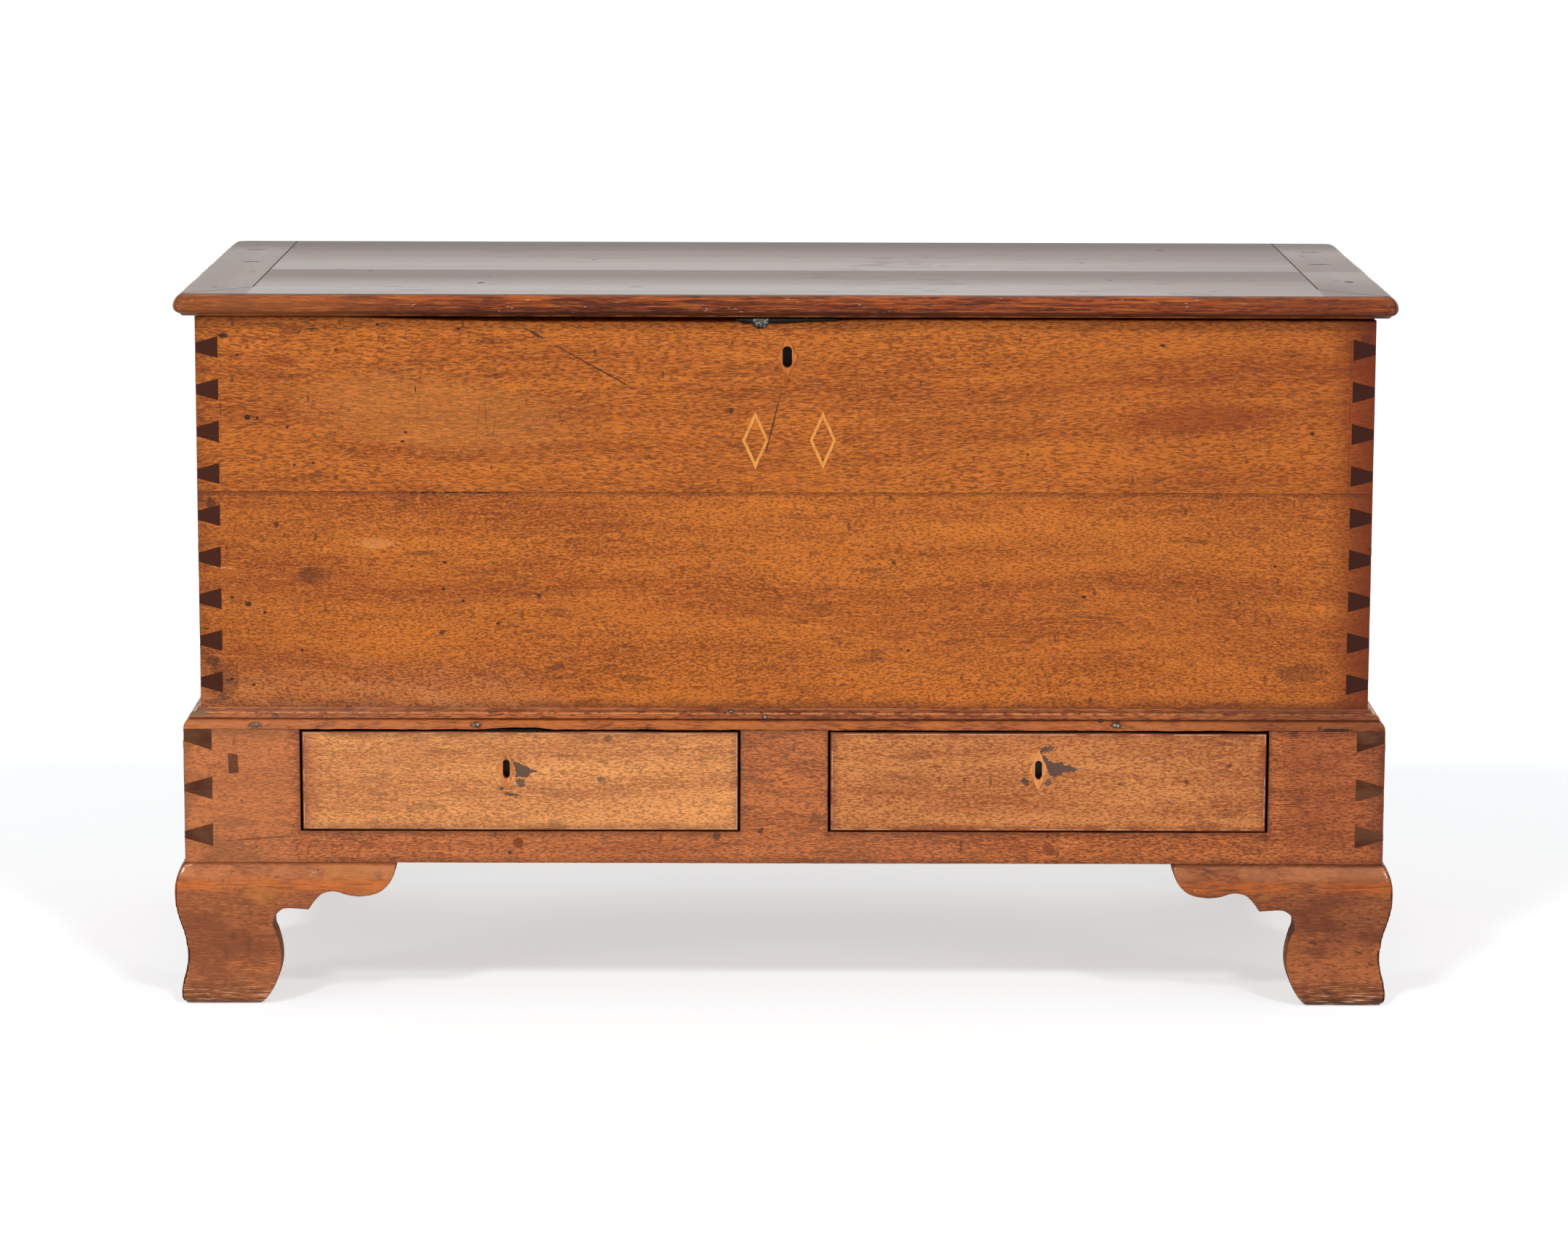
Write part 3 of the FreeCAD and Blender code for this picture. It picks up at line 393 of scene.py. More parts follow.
# a board's light and dark wood and its pores
GOLD = (207, 116, 38), (166, 82, 24), (78, 34, 10)
RUDDY = (186, 100, 44), (128, 58, 22), (66, 26, 10)
MOULDING_TOP = case["bottom"] + 0.019
ABOVE = 0.9  # higher than the chest, where a board has no rim


def unpolished(wood, mask, axis="y"):
    """The inner faces, square to the axis, that never had any polish."""
    bare = wood.mix(wood.shade, paint(128, 84, 50), paint(166, 118, 76))
    inner = mask * wood.facing(axis).step(0.7, 0.9)
    wood.lay(inner * (0.86 - 0.35 * wood.pores), bare, rough=0.66)


def opening(sign, clear=0.0):
    """Where a drawer's opening starts and stops."""
    middle, reach = sign * drawer["centre"], drawer["half"] + clear
    return middle - reach, middle + reach


def in_gaps(wood):
    """1 on the edges above and below a drawer, behind its face."""
    return wood.facing("z").step(0.6, 0.85) * wood.y.step(base["front"] + 0.0012, base["front"] + 0.003)


def front_boards(wood, seed):
    """What both boards of the case's front share: bruises, smudges, scratches and a dull back."""
    bruise(wood, 17.0, 0.062, seed)
    bruise(wood, 42.0, 0.085, seed + 5, SOIL, 0.6)
    scuff(wood, 0.42, seed)
    nicks(wood, 0.6, seed)
    hairlines(wood, 0.22, seed=seed)
    edge = rim(wood, (-case["side"], MOULDING_TOP), (case["side"], ABOVE), 0.012, wood.x)
    wood.lay(edge * wood.x.step(-0.62, -0.50) * 0.55, SOIL, rough=0.5)
    ends = wood.x.step(0.520, 0.566) * 0.85 + wood.x.step(-0.545, -0.574) * 0.12
    wood.lay(ends, paint(108, 38, 6))
    outer = wood.x.step(-0.548, -0.566) * (wood.grime + wood.fray * 0.3).step(0.50, 0.62)
    wood.lay(outer * 0.36, paint(72, 34, 22), rough=0.5)
    stains = [
        (-559, 494, 6, 8.5), (-559, 340, 8, 7), (-564.2, 371.8, 4, 1.4), (-556, 301, 14, 4, 8),
        (-543, 320.6, 5, 1.4, 12), (563, 660, 7, 6), (554, 648, 4, 5),
    ]
    marked(wood, stains, paint(48, 26, 20), 0.7, 0.1)
    # darker towards the right: painted shade, as the light from the left is the stronger
    wood.lay(wood.x.step(0.08, 0.50) * 0.10, paint(120, 52, 20))
    unpolished(wood, wood.y.step(case["front"] + 0.004, case["front"] + 0.007))


def upper_front():
    wood = board("front_upper_mahogany", "x", *GOLD, fleck=(150, 900), flecks=0.62)
    front_boards(wood, 0.0)
    marked(wood, [(-488, 635, 20, 5, -8), (400, 580, 100, 16, 4)], paint(126, 48, 18), 0.5, 0.0, 0.4)
    wood.lay(dash(wood, -340, 585, 160, 45, -6) * 0.22, paint(224, 146, 72))
    holes(
        wood,
        (-545, 659.7, 6, 2.6), (-531, 640.7, 2.4, 2.4), (-521.6, 579.9, 3.6, 3.4),
        (-512.4, 579.2, 1.8, 1.8), (-477, 533.6, 2, 1.6), (-458.5, 535, 1.6, 1.6), (-483.4, 570.6, 2, 1.4),
        (-368.4, 565.7, 2, 1.4), (-372, 556.5, 2.2, 1.4), (-562, 500.7, 5, 4), (-395, 670.5, 2.4, 1.6),
        (-316.5, 667, 2, 1.4), (365, 652, 3, 1.6), (512, 566, 2.6, 2), (236, 545, 2.2, 1.6),
    )
    cuts = [
        stroke(wood, -474, 661, -467, 666.5, 1), stroke(wood, -467, 666.5, -449, 666, 1),
        stroke(wood, -463.5, 603, -462.5, 595, 0.8), stroke(wood, -359, 611, -358.5, 603, 0.8),
        stroke(wood, -254, 668, -232, 656, 1.8), stroke(wood, -236, 658, -133, 601, 1),
        stroke(wood, -3.6, 608, -21.3, 537, 1.1),
    ]
    marked(wood, cuts, paint(58, 26, 16), 0.85, 0.12)
    faint = [
        stroke(wood, -293.1, 615, -289, 558.7, 0.7), stroke(wood, -296, 601, -301, 548, 0.6),
        stroke(wood, -280, 587, -286, 550, 0.6),
    ]
    marked(wood, faint, SOIL, 0.4, 0.05)
    for sign in (-1, 1):
        scribed = abs(wood.x - sign * 0.5478).step(0.0008, 0.0002) * wood.grime.step(0.44, 0.52)
        wood.lay(scribed * wood.z.step(0.660, 0.655) * 0.5, SOIL, depth=0.1)
    # darker towards the right: painted shade, as the light from the left is the stronger
    wood.lay(wood.x.step(0.10, 0.46) * 0.16, paint(136, 48, 2))
    # painted shade along the board's top edge, under the lid's overhang
    shade_under_lid = (wood.z + (wood.grime - 0.5) * 0.006).step(0.6715, 0.6785)
    wood.lay(shade_under_lid * 0.35, paint(92, 42, 18))
    key_rub = dash(wood, 1.7, 664, 4.5, 6).most(dash(wood, 2.2, 616, 4.2, 5))
    wood.lay(key_rub * 0.55, paint(128, 56, 22))
    wood.lay(dash(wood, 1.7, 637, 16, 26) * 0.25, paint(196, 106, 40))
    return waxed(wood, 0.1, 0.18)


def lower_front():
    wood = board("front_lower_mahogany", "x", *GOLD, fleck=(260, 850), offset=3.7, flecks=0.6)
    front_boards(wood, 3.0)
    slant = wood.cloud(((wood.x * 0.87 - wood.z * 0.5) * 10, (wood.z * 0.87 + wood.x * 0.5) * 90, 0.0), 1.0)
    low_left = (wood.z + (slant - 0.5) * 0.06).step(0.352, 0.306) * wood.x.step(-0.19, -0.30)
    low_left = low_left * (1 - wood.pores * 0.8)
    wood.lay(low_left * (0.20 + slant.step(0.44, 0.62) * 0.20), paint(206, 144, 100))
    wood.lay(dash(wood, -399, 456, 24, 6) * 0.5, paint(222, 146, 80))
    wood.lay(wood.x.step(-0.40, -0.54) * 0.14, paint(122, 58, 28))
    smudges = [(-353, 447, 26, 3.2), (-460, 425, 20, 10), (-550, 320, 18, 22), (505, 330, 30, 12)]
    marked(wood, smudges, SOIL, 0.5, 0.0, 0.45)
    holes(
        wood,
        (-539.4, 402.4, 2, 1.8), (-523.8, 396, 3.4, 2.4), (-507.4, 388, 2.2, 1.6), (-472, 350.8, 2, 1.6),
        (-541, 321.8, 2.4, 1.8), (-519.5, 316, 2, 1.6), (-333.6, 411.6, 2.2, 1.4), (-332, 437.8, 2.6, 1.6),
        (-314, 399.5, 2, 1.6), (-280, 377.6, 2, 1.6), (292, 405, 2.4, 1.6), (478, 436, 2.2, 1.8),
        (121, 352, 2, 1.4),
    )
    marked(wood, [stroke(wood, -544, 455, -544.5, 449, 0.9)], SOIL, 0.7)
    marked(wood, [stroke(wood, -562, 434, -533, 430.5, 1)], paint(224, 150, 92), 0.8, 0.1)
    seam = wood.z.step(case["seam"] - 0.006, case["seam"] - 0.0005)
    wood.lay(seam * 0.45, SOIL)
    open_seam = wood.x.step(-0.385, -0.360) * wood.x.step(-0.262, -0.275) * wood.spill.step(-0.10, 0.05)
    wood.lay(open_seam * wood.z.step(case["seam"] - 0.0022, case["seam"] - 0.0008), INK, rough=0.7)
    return waxed(wood, 0.1, 0.18)


def case_sides():
    wood = board("side_mahogany", "y", *GOLD, offset=1.3)
    bruise(wood, 16.0, 0.10)
    scuff(wood, 0.4)
    hairlines(wood, 0.3)
    edge = rim(wood, (case["front"], MOULDING_TOP), (case["back"], ABOVE), 0.014, wood.y)
    wood.lay(edge * 0.5, SOIL, rough=0.5)
    unpolished(wood, abs(wood.x).step(case["side"] - 0.004, case["side"] - 0.007), "x")
    wood.lay(wood.ends * (0.40 + wood.x.step(0.5, 0.55) * 0.45), paint(50, 12, 2))
    return waxed(wood, 0.1, 0.18)


def mouldings(name, along):
    wood = board(name, along, *RUDDY, fleck=(90, 900), offset=5.1)
    bruise(wood, 30.0, 0.11)
    nicks(wood, 0.6, 3.0)
    foot = base["top"]
    # painted highlight: the ovolo golden
    ovolo = wood.z.step(foot + 0.0094, foot + 0.0080)
    wood.lay(ovolo * wood.grime.step(0.66, 0.40) * 0.6, paint(204, 116, 52))
    # painted shade: a dark line in the quirk
    quirk = abs(wood.z - foot - 0.0096).step(0.0013, 0.0007)
    wood.lay(quirk * 0.5, INK, rough=0.7)
    # painted highlight: a pale line on the small fillet
    fillet = abs(wood.z - foot - 0.0150).step(0.0010, 0.0005)
    wood.lay(fillet * wood.spill.step(-0.12, 0.06) * 0.7, paint(226, 150, 92))
    # painted shade: the cove darker
    cove = abs(wood.z - foot - 0.0168).step(0.0016, 0.0008)
    wood.lay(cove * wood.grime.step(0.25, 0.55) * 0.5, INK, rough=0.65)
    # painted highlight: the top fillet lighter
    top = wood.z.step(foot + 0.0180, foot + 0.0186)
    wood.lay(top * wood.grime.step(0.60, 0.42) * 0.6, paint(196, 128, 84))
    if along == "x":
        stains = [
            (-497.9, 287.4, 3, 2.2), (-517.6, 278.8, 7.5, 3.6), (-302, 279.6, 7.2, 3.8),
            (-52.4, 291.4, 3.4, 2.4), (-19, 287.1, 3.6, 2.6), (309.2, 284.3, 2.6, 2), (324, 280.4, 8, 3.6),
            (523, 277.5, 2.6, 3),
        ]
        marked(wood, stains, INK, 0.85, 0.2)
        wood.lay(dash(wood, -574, 289.5, 11, 3) * 0.7, paint(96, 92, 74), rough=0.7)
        # a little darker all along, the wood's own tone; darker towards the right end and lighter towards
        # the left, painted light, as the light from the left is the stronger
        wood.lay(0.08 + wood.x.step(0.30, 0.54) * 0.5, paint(92, 40, 18))
        wood.lay(wood.x.step(-0.25, -0.45) * 0.10, paint(232, 166, 124))
        marked(wood, [stroke(wood, 521.5, 276.5, 558, 276.5, 1.6)], INK, 0.95, 0.5, 0.7)
    return waxed(wood, 0.15, 0.2)


def base_boards(name, along):
    colours = (206, 116, 56), (154, 78, 34), (76, 32, 16)
    wood = board(name, along, *colours, fleck=(200, 850), offset=7.9, flecks=0.66)
    bruise(wood, 18.0, 0.10, 2.0)
    scuff(wood, 0.45, 2.0)
    nicks(wood, 0.6, 2.0)
    hairlines(wood, 0.35, seed=2.0)
    across, reach = (wood.x, base["side"]) if along == "x" else (wood.y, 0.29)
    edge = rim(wood, (-reach, base["bottom"]), (reach, base["top"]), 0.010, across)
    wood.lay(edge * 0.5, SOIL, rough=0.5)
    if along == "x":
        for sign in (-1, 1):
            low, high = opening(sign, 0.001)
            outside = 0 - inside(wood, (low, 0.1725), (high, 0.2765), wood.x)
            wood.lay((outside + (wood.grime - 0.5) * 0.006).step(0.006, 0.0) * 0.5, SOIL, rough=0.5)
        holes(wood, (-269.5, 152.5, 2.8, 2), (-531.6, 203.7, 2, 1.6), (-518, 157.5, 2.2, 1.8))
        wood.lay(in_gaps(wood) * wood.z.step(0.160, 0.165) * 0.85, SHADE, rough=0.7)
        # darker past the right opening: painted shade, as the light from the left is the stronger
        wood.lay(wood.x.step(0.478, 0.500) * 0.35, paint(116, 48, 28))
        wood.lay(wood.x.step(0.560, 0.586) * 0.35, SOIL)
        # lighter towards the left: painted light, as the light from the left is the stronger
        wood.lay(wood.x.step(-0.475, -0.490) * 0.25, paint(206, 128, 78))
        wood.lay(wood.x.step(0.26, 0.10) * 0.05, paint(236, 172, 132))
        marked(wood, [(259.7, 155.7, 8.5, 6), (173.3, 161.3, 1.2, 9, 6)], SOIL, 0.5, 0.0)
        patch = wedge(wood, (-544.3, 250.8), (-535, 250), (-534.4, 231.8), (-543.5, 231))
        marked(wood, [patch], paint(62, 28, 16), 0.8, 0.0)
        marked(wood, [stroke(wood, -556, 163, -473, 169, 0.9)], INK, 0.6, 0.3)
        unpolished(wood, wood.y.step(base["front"] + 0.006, base["front"] + 0.012))
    else:
        unpolished(wood, abs(wood.x).step(base["side"] - 0.004, base["side"] - 0.008), "x")
        wood.lay(wood.ends * wood.grime.step(0.70, 0.40) * 0.55, paint(112, 72, 44))
    return waxed(wood, 0.12, 0.2)


def drawer_fronts():
    colours = (240, 158, 86), (190, 106, 52), (104, 48, 22)
    wood = board("drawer_mahogany", "x", *colours, fleck=(230, 850), offset=11.2, flecks=0.66)
    bruise(wood, 22.0, 0.10, 4.0)
    scuff(wood, 0.4, 4.0)
    nicks(wood, 0.5, 7.0)
    hairlines(wood, 0.2, seed=4.0)
    for sign in (-1, 1):
        low, high = opening(sign)
        edge = rim(wood, (low, drawer["bottom"]), (high, drawer["top"]), 0.011, wood.x)
        wood.lay(edge * (wood.x * sign).step(0.04, 0.0445) * 0.68, paint(122, 58, 28), rough=0.45)
    # darker towards the right and lighter towards the left: painted light, as the light from the left is the
    # stronger
    wood.lay(wood.x.step(0.0, 0.02) * 0.30, paint(140, 64, 30))
    wood.lay(wood.x.step(0.0, -0.02) * 0.14, paint(240, 176, 120))
    wood.lay(wood.x.step(-0.448, -0.466) * 0.25, paint(150, 60, 40))
    low, high = (drawer["inner"], drawer["bottom"]), (drawer["outer"], drawer["top"])
    within = inside(wood, low, high, abs(wood.x))
    # a darker band along each front's edge: painted shade of its rounding
    wood.lay(within.step(0.0026, 0.0012) * 0.6, paint(96, 40, 20), rough=0.42)
    wood.lay(in_gaps(wood) * 0.85, SHADE, rough=0.7)
    # a pale line just inside the edge: painted highlight along its rounding
    line = abs(within - 0.0021).step(0.0006, 0.0002) * wood.grime.step(0.44, 0.54)
    wood.lay(line * 0.55, paint(244, 190, 140))
    marks = [
        (328.8, 222.1, 3, 2.2), (177, 226.1, 2.8, 2.4), (246.4, 200.1, 3, 1.8),
        (435.3, 240.6, 3.6, 2.6, 30), (394.3, 224.5, 3, 3),
    ]
    marked(wood, marks, paint(92, 40, 24), 0.75, 0.2, 0.5)
    marked(wood, [stroke(wood, -414.5, 249.5, -389, 265, 0.7)], SOIL, 0.6)
    filler = [
        wedge(wood, (-267.5, 246.2), (-242.4, 234), (-252.3, 228.8), (-262.2, 228.3), ragged=0.008),
        (-258.3, 222.2, 5.6, 5.4), (-266.5, 210.4, 9.5, 2.2, -8), (-276.4, 216.4, 2.6, 2.4),
        wedge(wood, (253.7, 248.8), (287, 237.5), (260.8, 228.3), ragged=0.010), (256.9, 256.5, 8, 4.2, 12),
        (259, 223.4, 4.2, 4), (235, 225.5, 4, 2.8),
    ]
    marked(wood, filler, paint(78, 62, 56), 0.92, 0.06, 0.6)
    marked(wood, [(-258.3, 222.2, 3.4, 3.3), (259, 223.4, 2.6, 2.5)], paint(122, 84, 58), 0.8, -0.05)
    unpolished(wood, wood.y.step(base["front"] + 0.006, base["front"] + 0.009))
    return waxed(wood, 0.15, 0.2)


def feet(name, along):
    colours = (186, 104, 54), (130, 64, 30), (62, 26, 14)
    wood = board(name, along, *colours, fleck=(150, 900), offset=13.0, flecks=0.55)
    bruise(wood, 24.0, 0.12, 6.0)
    bruise(wood, 70.0, 0.14, 2.0, SOIL, 0.6)
    scuff(wood, 0.5, 6.0)
    age = wood.cloud((wood.x * 13, wood.y * 13, wood.z * 20), 3.0, 0.6)
    wood.lay(age.step(0.50, 0.62) * 0.6, paint(102, 42, 22))
    wood.lay(age.step(0.46, 0.36) * 0.45, paint(196, 122, 52))
    streak = wood.cloud((wood.x * 40, wood.y * 40, wood.z * 700), 2.0, 0.6)
    # a lighter band on the foot's shoulder, which faces up: painted highlight
    shoulder = wood.z.step(0.124, 0.131) * wood.z.step(0.1405, 0.138)
    wood.lay(shoulder * wood.grime.step(0.68, 0.45) * 0.45, paint(206, 132, 84))
    # a bright orange band on the ogee's bulge, broken by lighter and darker streaks: painted highlight
    bulge = wood.z.step(0.112, 0.119) * wood.z.step(0.129, 0.123)
    wood.lay(bulge * wood.grime.step(0.35, 0.55) * 0.5, paint(204, 98, 28), rough=0.28)
    wood.lay(bulge * streak.step(0.52, 0.42) * 0.4, paint(214, 116, 42), rough=0.28)
    wood.lay(bulge * streak.step(0.54, 0.62) * 0.5, paint(86, 34, 16), rough=0.4)
    # a darker band across the ogee's hollow waist: painted shade
    waist = abs(wood.z - 0.066).step(0.030, 0.004) * wood.grime.step(0.66, 0.44)
    wood.lay(waist * 0.35, paint(98, 40, 24))
    crease = wood.z.step(0.1395, 0.1415)
    wood.lay(crease * 0.6, SOIL, rough=0.5)
    # dark along the bottom of the foot: painted contact shadow
    low = (wood.z + (wood.grime - 0.5) * 0.012).step(0.009, 0.002)
    wood.lay(low * 0.6, paint(48, 28, 20), rough=0.6)
    worn_pale = wood.z.step(0.004, 0.008) * wood.z.step(0.016, 0.010) * wood.grime.step(0.42, 0.58)
    wood.lay(worn_pale * 0.5, paint(206, 136, 90), rough=0.5)
    # the toe: dark streaks of dirt, and pale streaks that are painted glints
    toe_dirt_and_glints = (wood.z + (wood.grime - 0.5) * 0.016).step(0.034, 0.008)
    wood.lay(toe_dirt_and_glints * streak.step(0.47, 0.58) * 0.85, paint(40, 22, 14), rough=0.5)
    wood.lay(toe_dirt_and_glints * streak.step(0.41, 0.35) * 0.75, paint(236, 196, 160), rough=0.35)
    if along == "x":
        glints = [
            (-462.5, 132.4, 3.6, 0.6, 55), (-460, 133.5, 2.4, 0.5, 40), (-439.6, 133.9, 2, 0.5, 20),
            (-590, 134.5, 5, 1.2, 60), (-584, 139.5, 5, 0.8, 10), (590, 133, 6, 1.6, -60),
            (591.5, 127, 3, 1, -80), (403.5, 118, 3, 1, -55), (587.5, 125.5, 2.2, 0.8, 20),
        ]
        marked(wood, glints, paint(236, 226, 216), 0.8, 0.0, 0.25)
        holes(wood, (-537, 119, 3.2, 2.6), (-457, 136, 1.8, 1.4))
        marked(wood, [(-521, 117, 3, 5.5)], SOIL, 0.8)
        marked(wood, [(-526.5, 56, 2.8, 13), (-549, 52, 2.6, 12)], SOIL, 0.45, 0.0)
        # darker towards the right and lighter towards the left: painted light, as the light from the left is
        # the stronger
        wood.lay(wood.x.step(0.0, 0.1) * 0.22, paint(110, 60, 24))
        wood.lay(wood.x.step(0.0, -0.1) * 0.14, paint(222, 140, 84))
        slits = [
            (546.1, 65.2, 6.2, 1, -16), (566.4, 53.5, 5, 1, -12), (578.1, 41.8, 5, 0.9, -25),
            (520.3, 63.7, 6, 1.8, -20), (551.4, 82.9, 3, 2.2), (535.8, 77, 2.4, 1.8),
            (518.7, 106.9, 2.6, 2), (-541.2, 116.8, 3.4, 3),
        ]
        marked(wood, slits, INK, 0.75, 0.2)
        unpolished(wood, wood.y.step(base["front"] + 0.010, base["front"] + 0.020))
    else:
        unpolished(wood, abs(wood.x).step(base["side"] - 0.010, base["side"] - 0.020), "x")
    return waxed(wood, 0.15, 0.2)


def lid_boards(name, along):
    colours = (150, 68, 30), (88, 34, 15), (42, 16, 10)
    wood = board(name, along, *colours, fleck=(60, 700), offset=17.0, rough=0.27, flecks=0.6)
    top = wood.facing("z").step(0.80, 0.96)
    end = abs(wood.x)
    in_clamp = end.step(lid["clamp"] - 0.0005, lid["clamp"] + 0.0005)
    # the top's colour follows its cupped boards: lighter towards the front of each board and darker along
    # the back edge, as painted reflection; the same cupping sets where the top is glossier
    front_rise = wood.y.step(-0.070, -0.215)
    back_rise = wood.y.step(0.200, 0.000) * 0.85
    cupped_sheen = back_rise + wood.y.step(-0.0325, -0.0345) * (front_rise - back_rise)
    cupped_sheen = cupped_sheen * (1 - 0.4 * wood.x.step(0.15, 0.56)) + in_clamp * (0.5 - cupped_sheen)
    cupped_sheen = cupped_sheen + (wood.cloud((wood.run * 1.4, wood.deep * 42, 0.0), 2.0) - 0.5) * 0.5
    wood.lay(top * 0.88, wood.mix(cupped_sheen, paint(74, 48, 32), paint(98, 74, 56)))
    wood.lay(top, rough=0.40 - cupped_sheen * 0.14)
    wood.lay(top * wood.y.step(0.150, 0.240) * 0.6, paint(54, 42, 34), rough=0.50)
    bruise(wood, 15.0, 0.055, 8.0)
    scuff(wood, 0.5, 8.0)
    # a lighter orange band under the top arris, where the finish is rubbed: painted highlight
    arris = wood.z.step(lid["top"] - 0.0085, lid["top"] - 0.003)
    rubbed = arris * wood.z.step(lid["top"] - 0.0003, lid["top"] - 0.0012)
    patch = wood.cloud((wood.x * 18, wood.y * 18, wood.z * 260), 3.0, 0.65).step(0.46, 0.60)
    wood.lay(rubbed * patch * 0.7, paint(190, 94, 34))
    streak = wood.cloud((wood.x * 24, wood.y * 24, wood.z * 900), 3.0, 0.65)
    nose = 1 - top
    wood.lay(nose * streak.step(0.53, 0.64) * 0.65, paint(50, 18, 10))
    wood.lay(nose * streak.step(0.45, 0.36) * 0.45, paint(216, 122, 50))
    # white specks on the moulded edge: painted glints
    spark = wood.cells((wood.x * 60, wood.y * 60, wood.z * 560)) + wood.fray * 0.3
    wood.lay(nose * spark.step(0.15, 0.06) * wood.grime.step(0.52, 0.60) * 0.8, paint(232, 214, 200))
    # a dark band on the lower curve of the edge, which faces down: painted shade
    belly = abs(wood.z - lid["under"] - 0.0028).step(0.0040, 0.0015)
    wood.lay(belly * 0.65, paint(50, 18, 10))
    # a pale line along the edge's lower lip: painted highlight
    lip = wood.z.step(lid["under"] + 0.0022, lid["under"] + 0.0012)
    wood.lay(lip * nose * wood.grime.step(0.45, 0.60) * 0.5, paint(190, 112, 56))
    slots = [
        (-553, 173, 11, 4), (-546, 45, 11, 4), (553, 173, 11, 4), (548, 45, 11, 4), (558, -130, 5, 8),
        (-300, -160, 4, 6),
    ]
    marked(wood, slots, INK, 0.9, 0.3, 0.6, on_top=True)
    past_clamp = end - lid["clamp"]
    clamp_joint = abs(past_clamp).step(0.0011, 0.0006) * wood.y.step(-0.2035, -0.2020)
    mitre = abs(past_clamp + (wood.y + 0.20225)).step(0.0016, 0.0009) * end.step(0.5190, 0.5205)
    board_joint = abs(wood.y - lid["joint"]).step(0.0010, 0.0005) * end.step(0.521, 0.520) * 0.5
    seams = clamp_joint.most(mitre).most(board_joint)
    wood.lay(seams * 0.9, INK, rough=0.7)
    wood.relief = wood.relief * nose
    below_top = wood.z.step(lid["top"], lid["top"] - 0.002)
    # lighter towards the left of the moulded edge: painted light, as the light from the left is the stronger
    wood.lay(wood.x.step(-0.30, -0.50) * below_top * 0.28, paint(206, 122, 62))
    raw = wood.z.step(lid["under"] + 0.0012, lid["under"] + 0.0006) * end.step(0.573, 0.571)
    unpolished(wood, raw, "z")
    # darker towards the right of the moulded edge: painted shade, as the light from the left is the stronger
    wood.lay(wood.x.step(0.30, 0.50) * below_top * 0.3, paint(104, 50, 26))
    return wood.close(specular=0.16)


def softwood(name, along, offset=0.0):
    colours = (188, 142, 92), (146, 98, 58), (104, 64, 36)
    wood = board(name, along, *colours, fleck=(30, 260), offset=offset, rough=0.66, flecks=0.4)
    rings = wood.cloud((wood.run * 1.2, wood.rise * 70, wood.deep * 40), 1.0)
    wood.lay(rings.step(0.50, 0.60) * 0.4, paint(150, 98, 56))
    bruise(wood, 12.0, 0.07, 3.0, paint(80, 46, 26), 0.7)
    knots = wood.cells((wood.run * 2.1 + 0.3, wood.rise * 5.0, wood.deep * 5.0)) + wood.spill * 0.03
    wood.lay(knots.step(0.085, 0.060) * 0.85, paint(84, 46, 24))
    scuff(wood, 0.4, 9.0, paint(96, 60, 36))
    if along == "x":
        behind = wood.y.step(0.2600, 0.2620)
        joint = abs(wood.z - case["back_seam"]).step(0.0010, 0.0004)
        for height in (case["bottom"], base["bottom"]):
            joint = joint.most(abs(wood.z - height).step(0.0010, 0.0004))
        wood.lay(joint * behind * 0.8, paint(58, 36, 22), rough=0.8)
        dusty = (wood.z + (wood.grime - 0.5) * 0.16).step(0.42, 0.12) * behind
        wood.lay(dusty * 0.35, paint(104, 74, 48))
    return wood.close(specular=0.25)


def oak_wood(name, along):
    colours = (176, 126, 78), (132, 88, 50), (74, 44, 24)
    wood = board(name, along, *colours, fleck=(60, 900), rough=0.58, flecks=0.6)
    flake = wood.cells((wood.run * 26, wood.rise * 150, wood.deep * 150))
    wood.lay(flake.step(0.20, 0.10) * 0.35, paint(206, 160, 108), rough=0.4)
    scuff(wood, 0.4, 5.0)
    return wood.close(specular=0.25)


def boxwood():
    colours = (232, 154, 88), (206, 118, 60), (140, 72, 34)
    wood = board("boxwood", "z", *colours, fleck=(90, 900), rough=0.4, flecks=0.35)
    scuff(wood, 0.35, 2.0)
    return wood.close(specular=0.2)


def peg_wood():
    wood = board("peg_wood", "y", (176, 96, 48), (140, 68, 32), (80, 36, 18), end_grain=0.25)
    bruise(wood, 90.0, 0.2, 1.0)
    return wood.close(specular=0.2)


def chest_lozenge():
    colours = (206, 120, 50), (188, 102, 38), (96, 42, 16)
    wood = board("pale_mahogany", "z", *colours, fleck=(120, 1200), flecks=0.35)
    out = abs(wood.x - 0.0017) / 0.0105 + abs(wood.z - 0.640) / 0.022
    wood.lay(out.step(0.84, 0.98) * 0.5, paint(112, 44, 16))
    # a pale crescent at the bottom of the keyhole: painted glint
    marked(wood, [(2.2, 631.2, 2.6, 0.7)], paint(226, 220, 214), 0.9, 0.0, 0.3)
    return wood.close(specular=0.18)


def light_string():
    """The thin stringing let into the front, hardly lighter than the board."""
    wood = board("pale_string", "z", (236, 158, 72), (216, 132, 54), (150, 84, 36), flecks=0.3)
    bruise(wood, 40.0, 0.1)
    return wood.close(coat=0.1, specular=0.18)


def dull_metal(name, colour, rust, rough, metallic):
    metal = Finish(name)
    patches = metal.cloud((metal.x * 90, metal.y * 90, metal.z * 90), 4.0, 0.6)
    fine = metal.cloud((metal.x * 900, metal.y * 900, metal.z * 900), 2.0)
    metal.colour = metal.mix(patches.step(0.42, 0.66), colour, rust)
    metal.rough = rough + (patches - 0.5) * 0.3
    metal.relief = fine * 0.04 + patches * 0.1
    return metal.close(metallic=metallic)


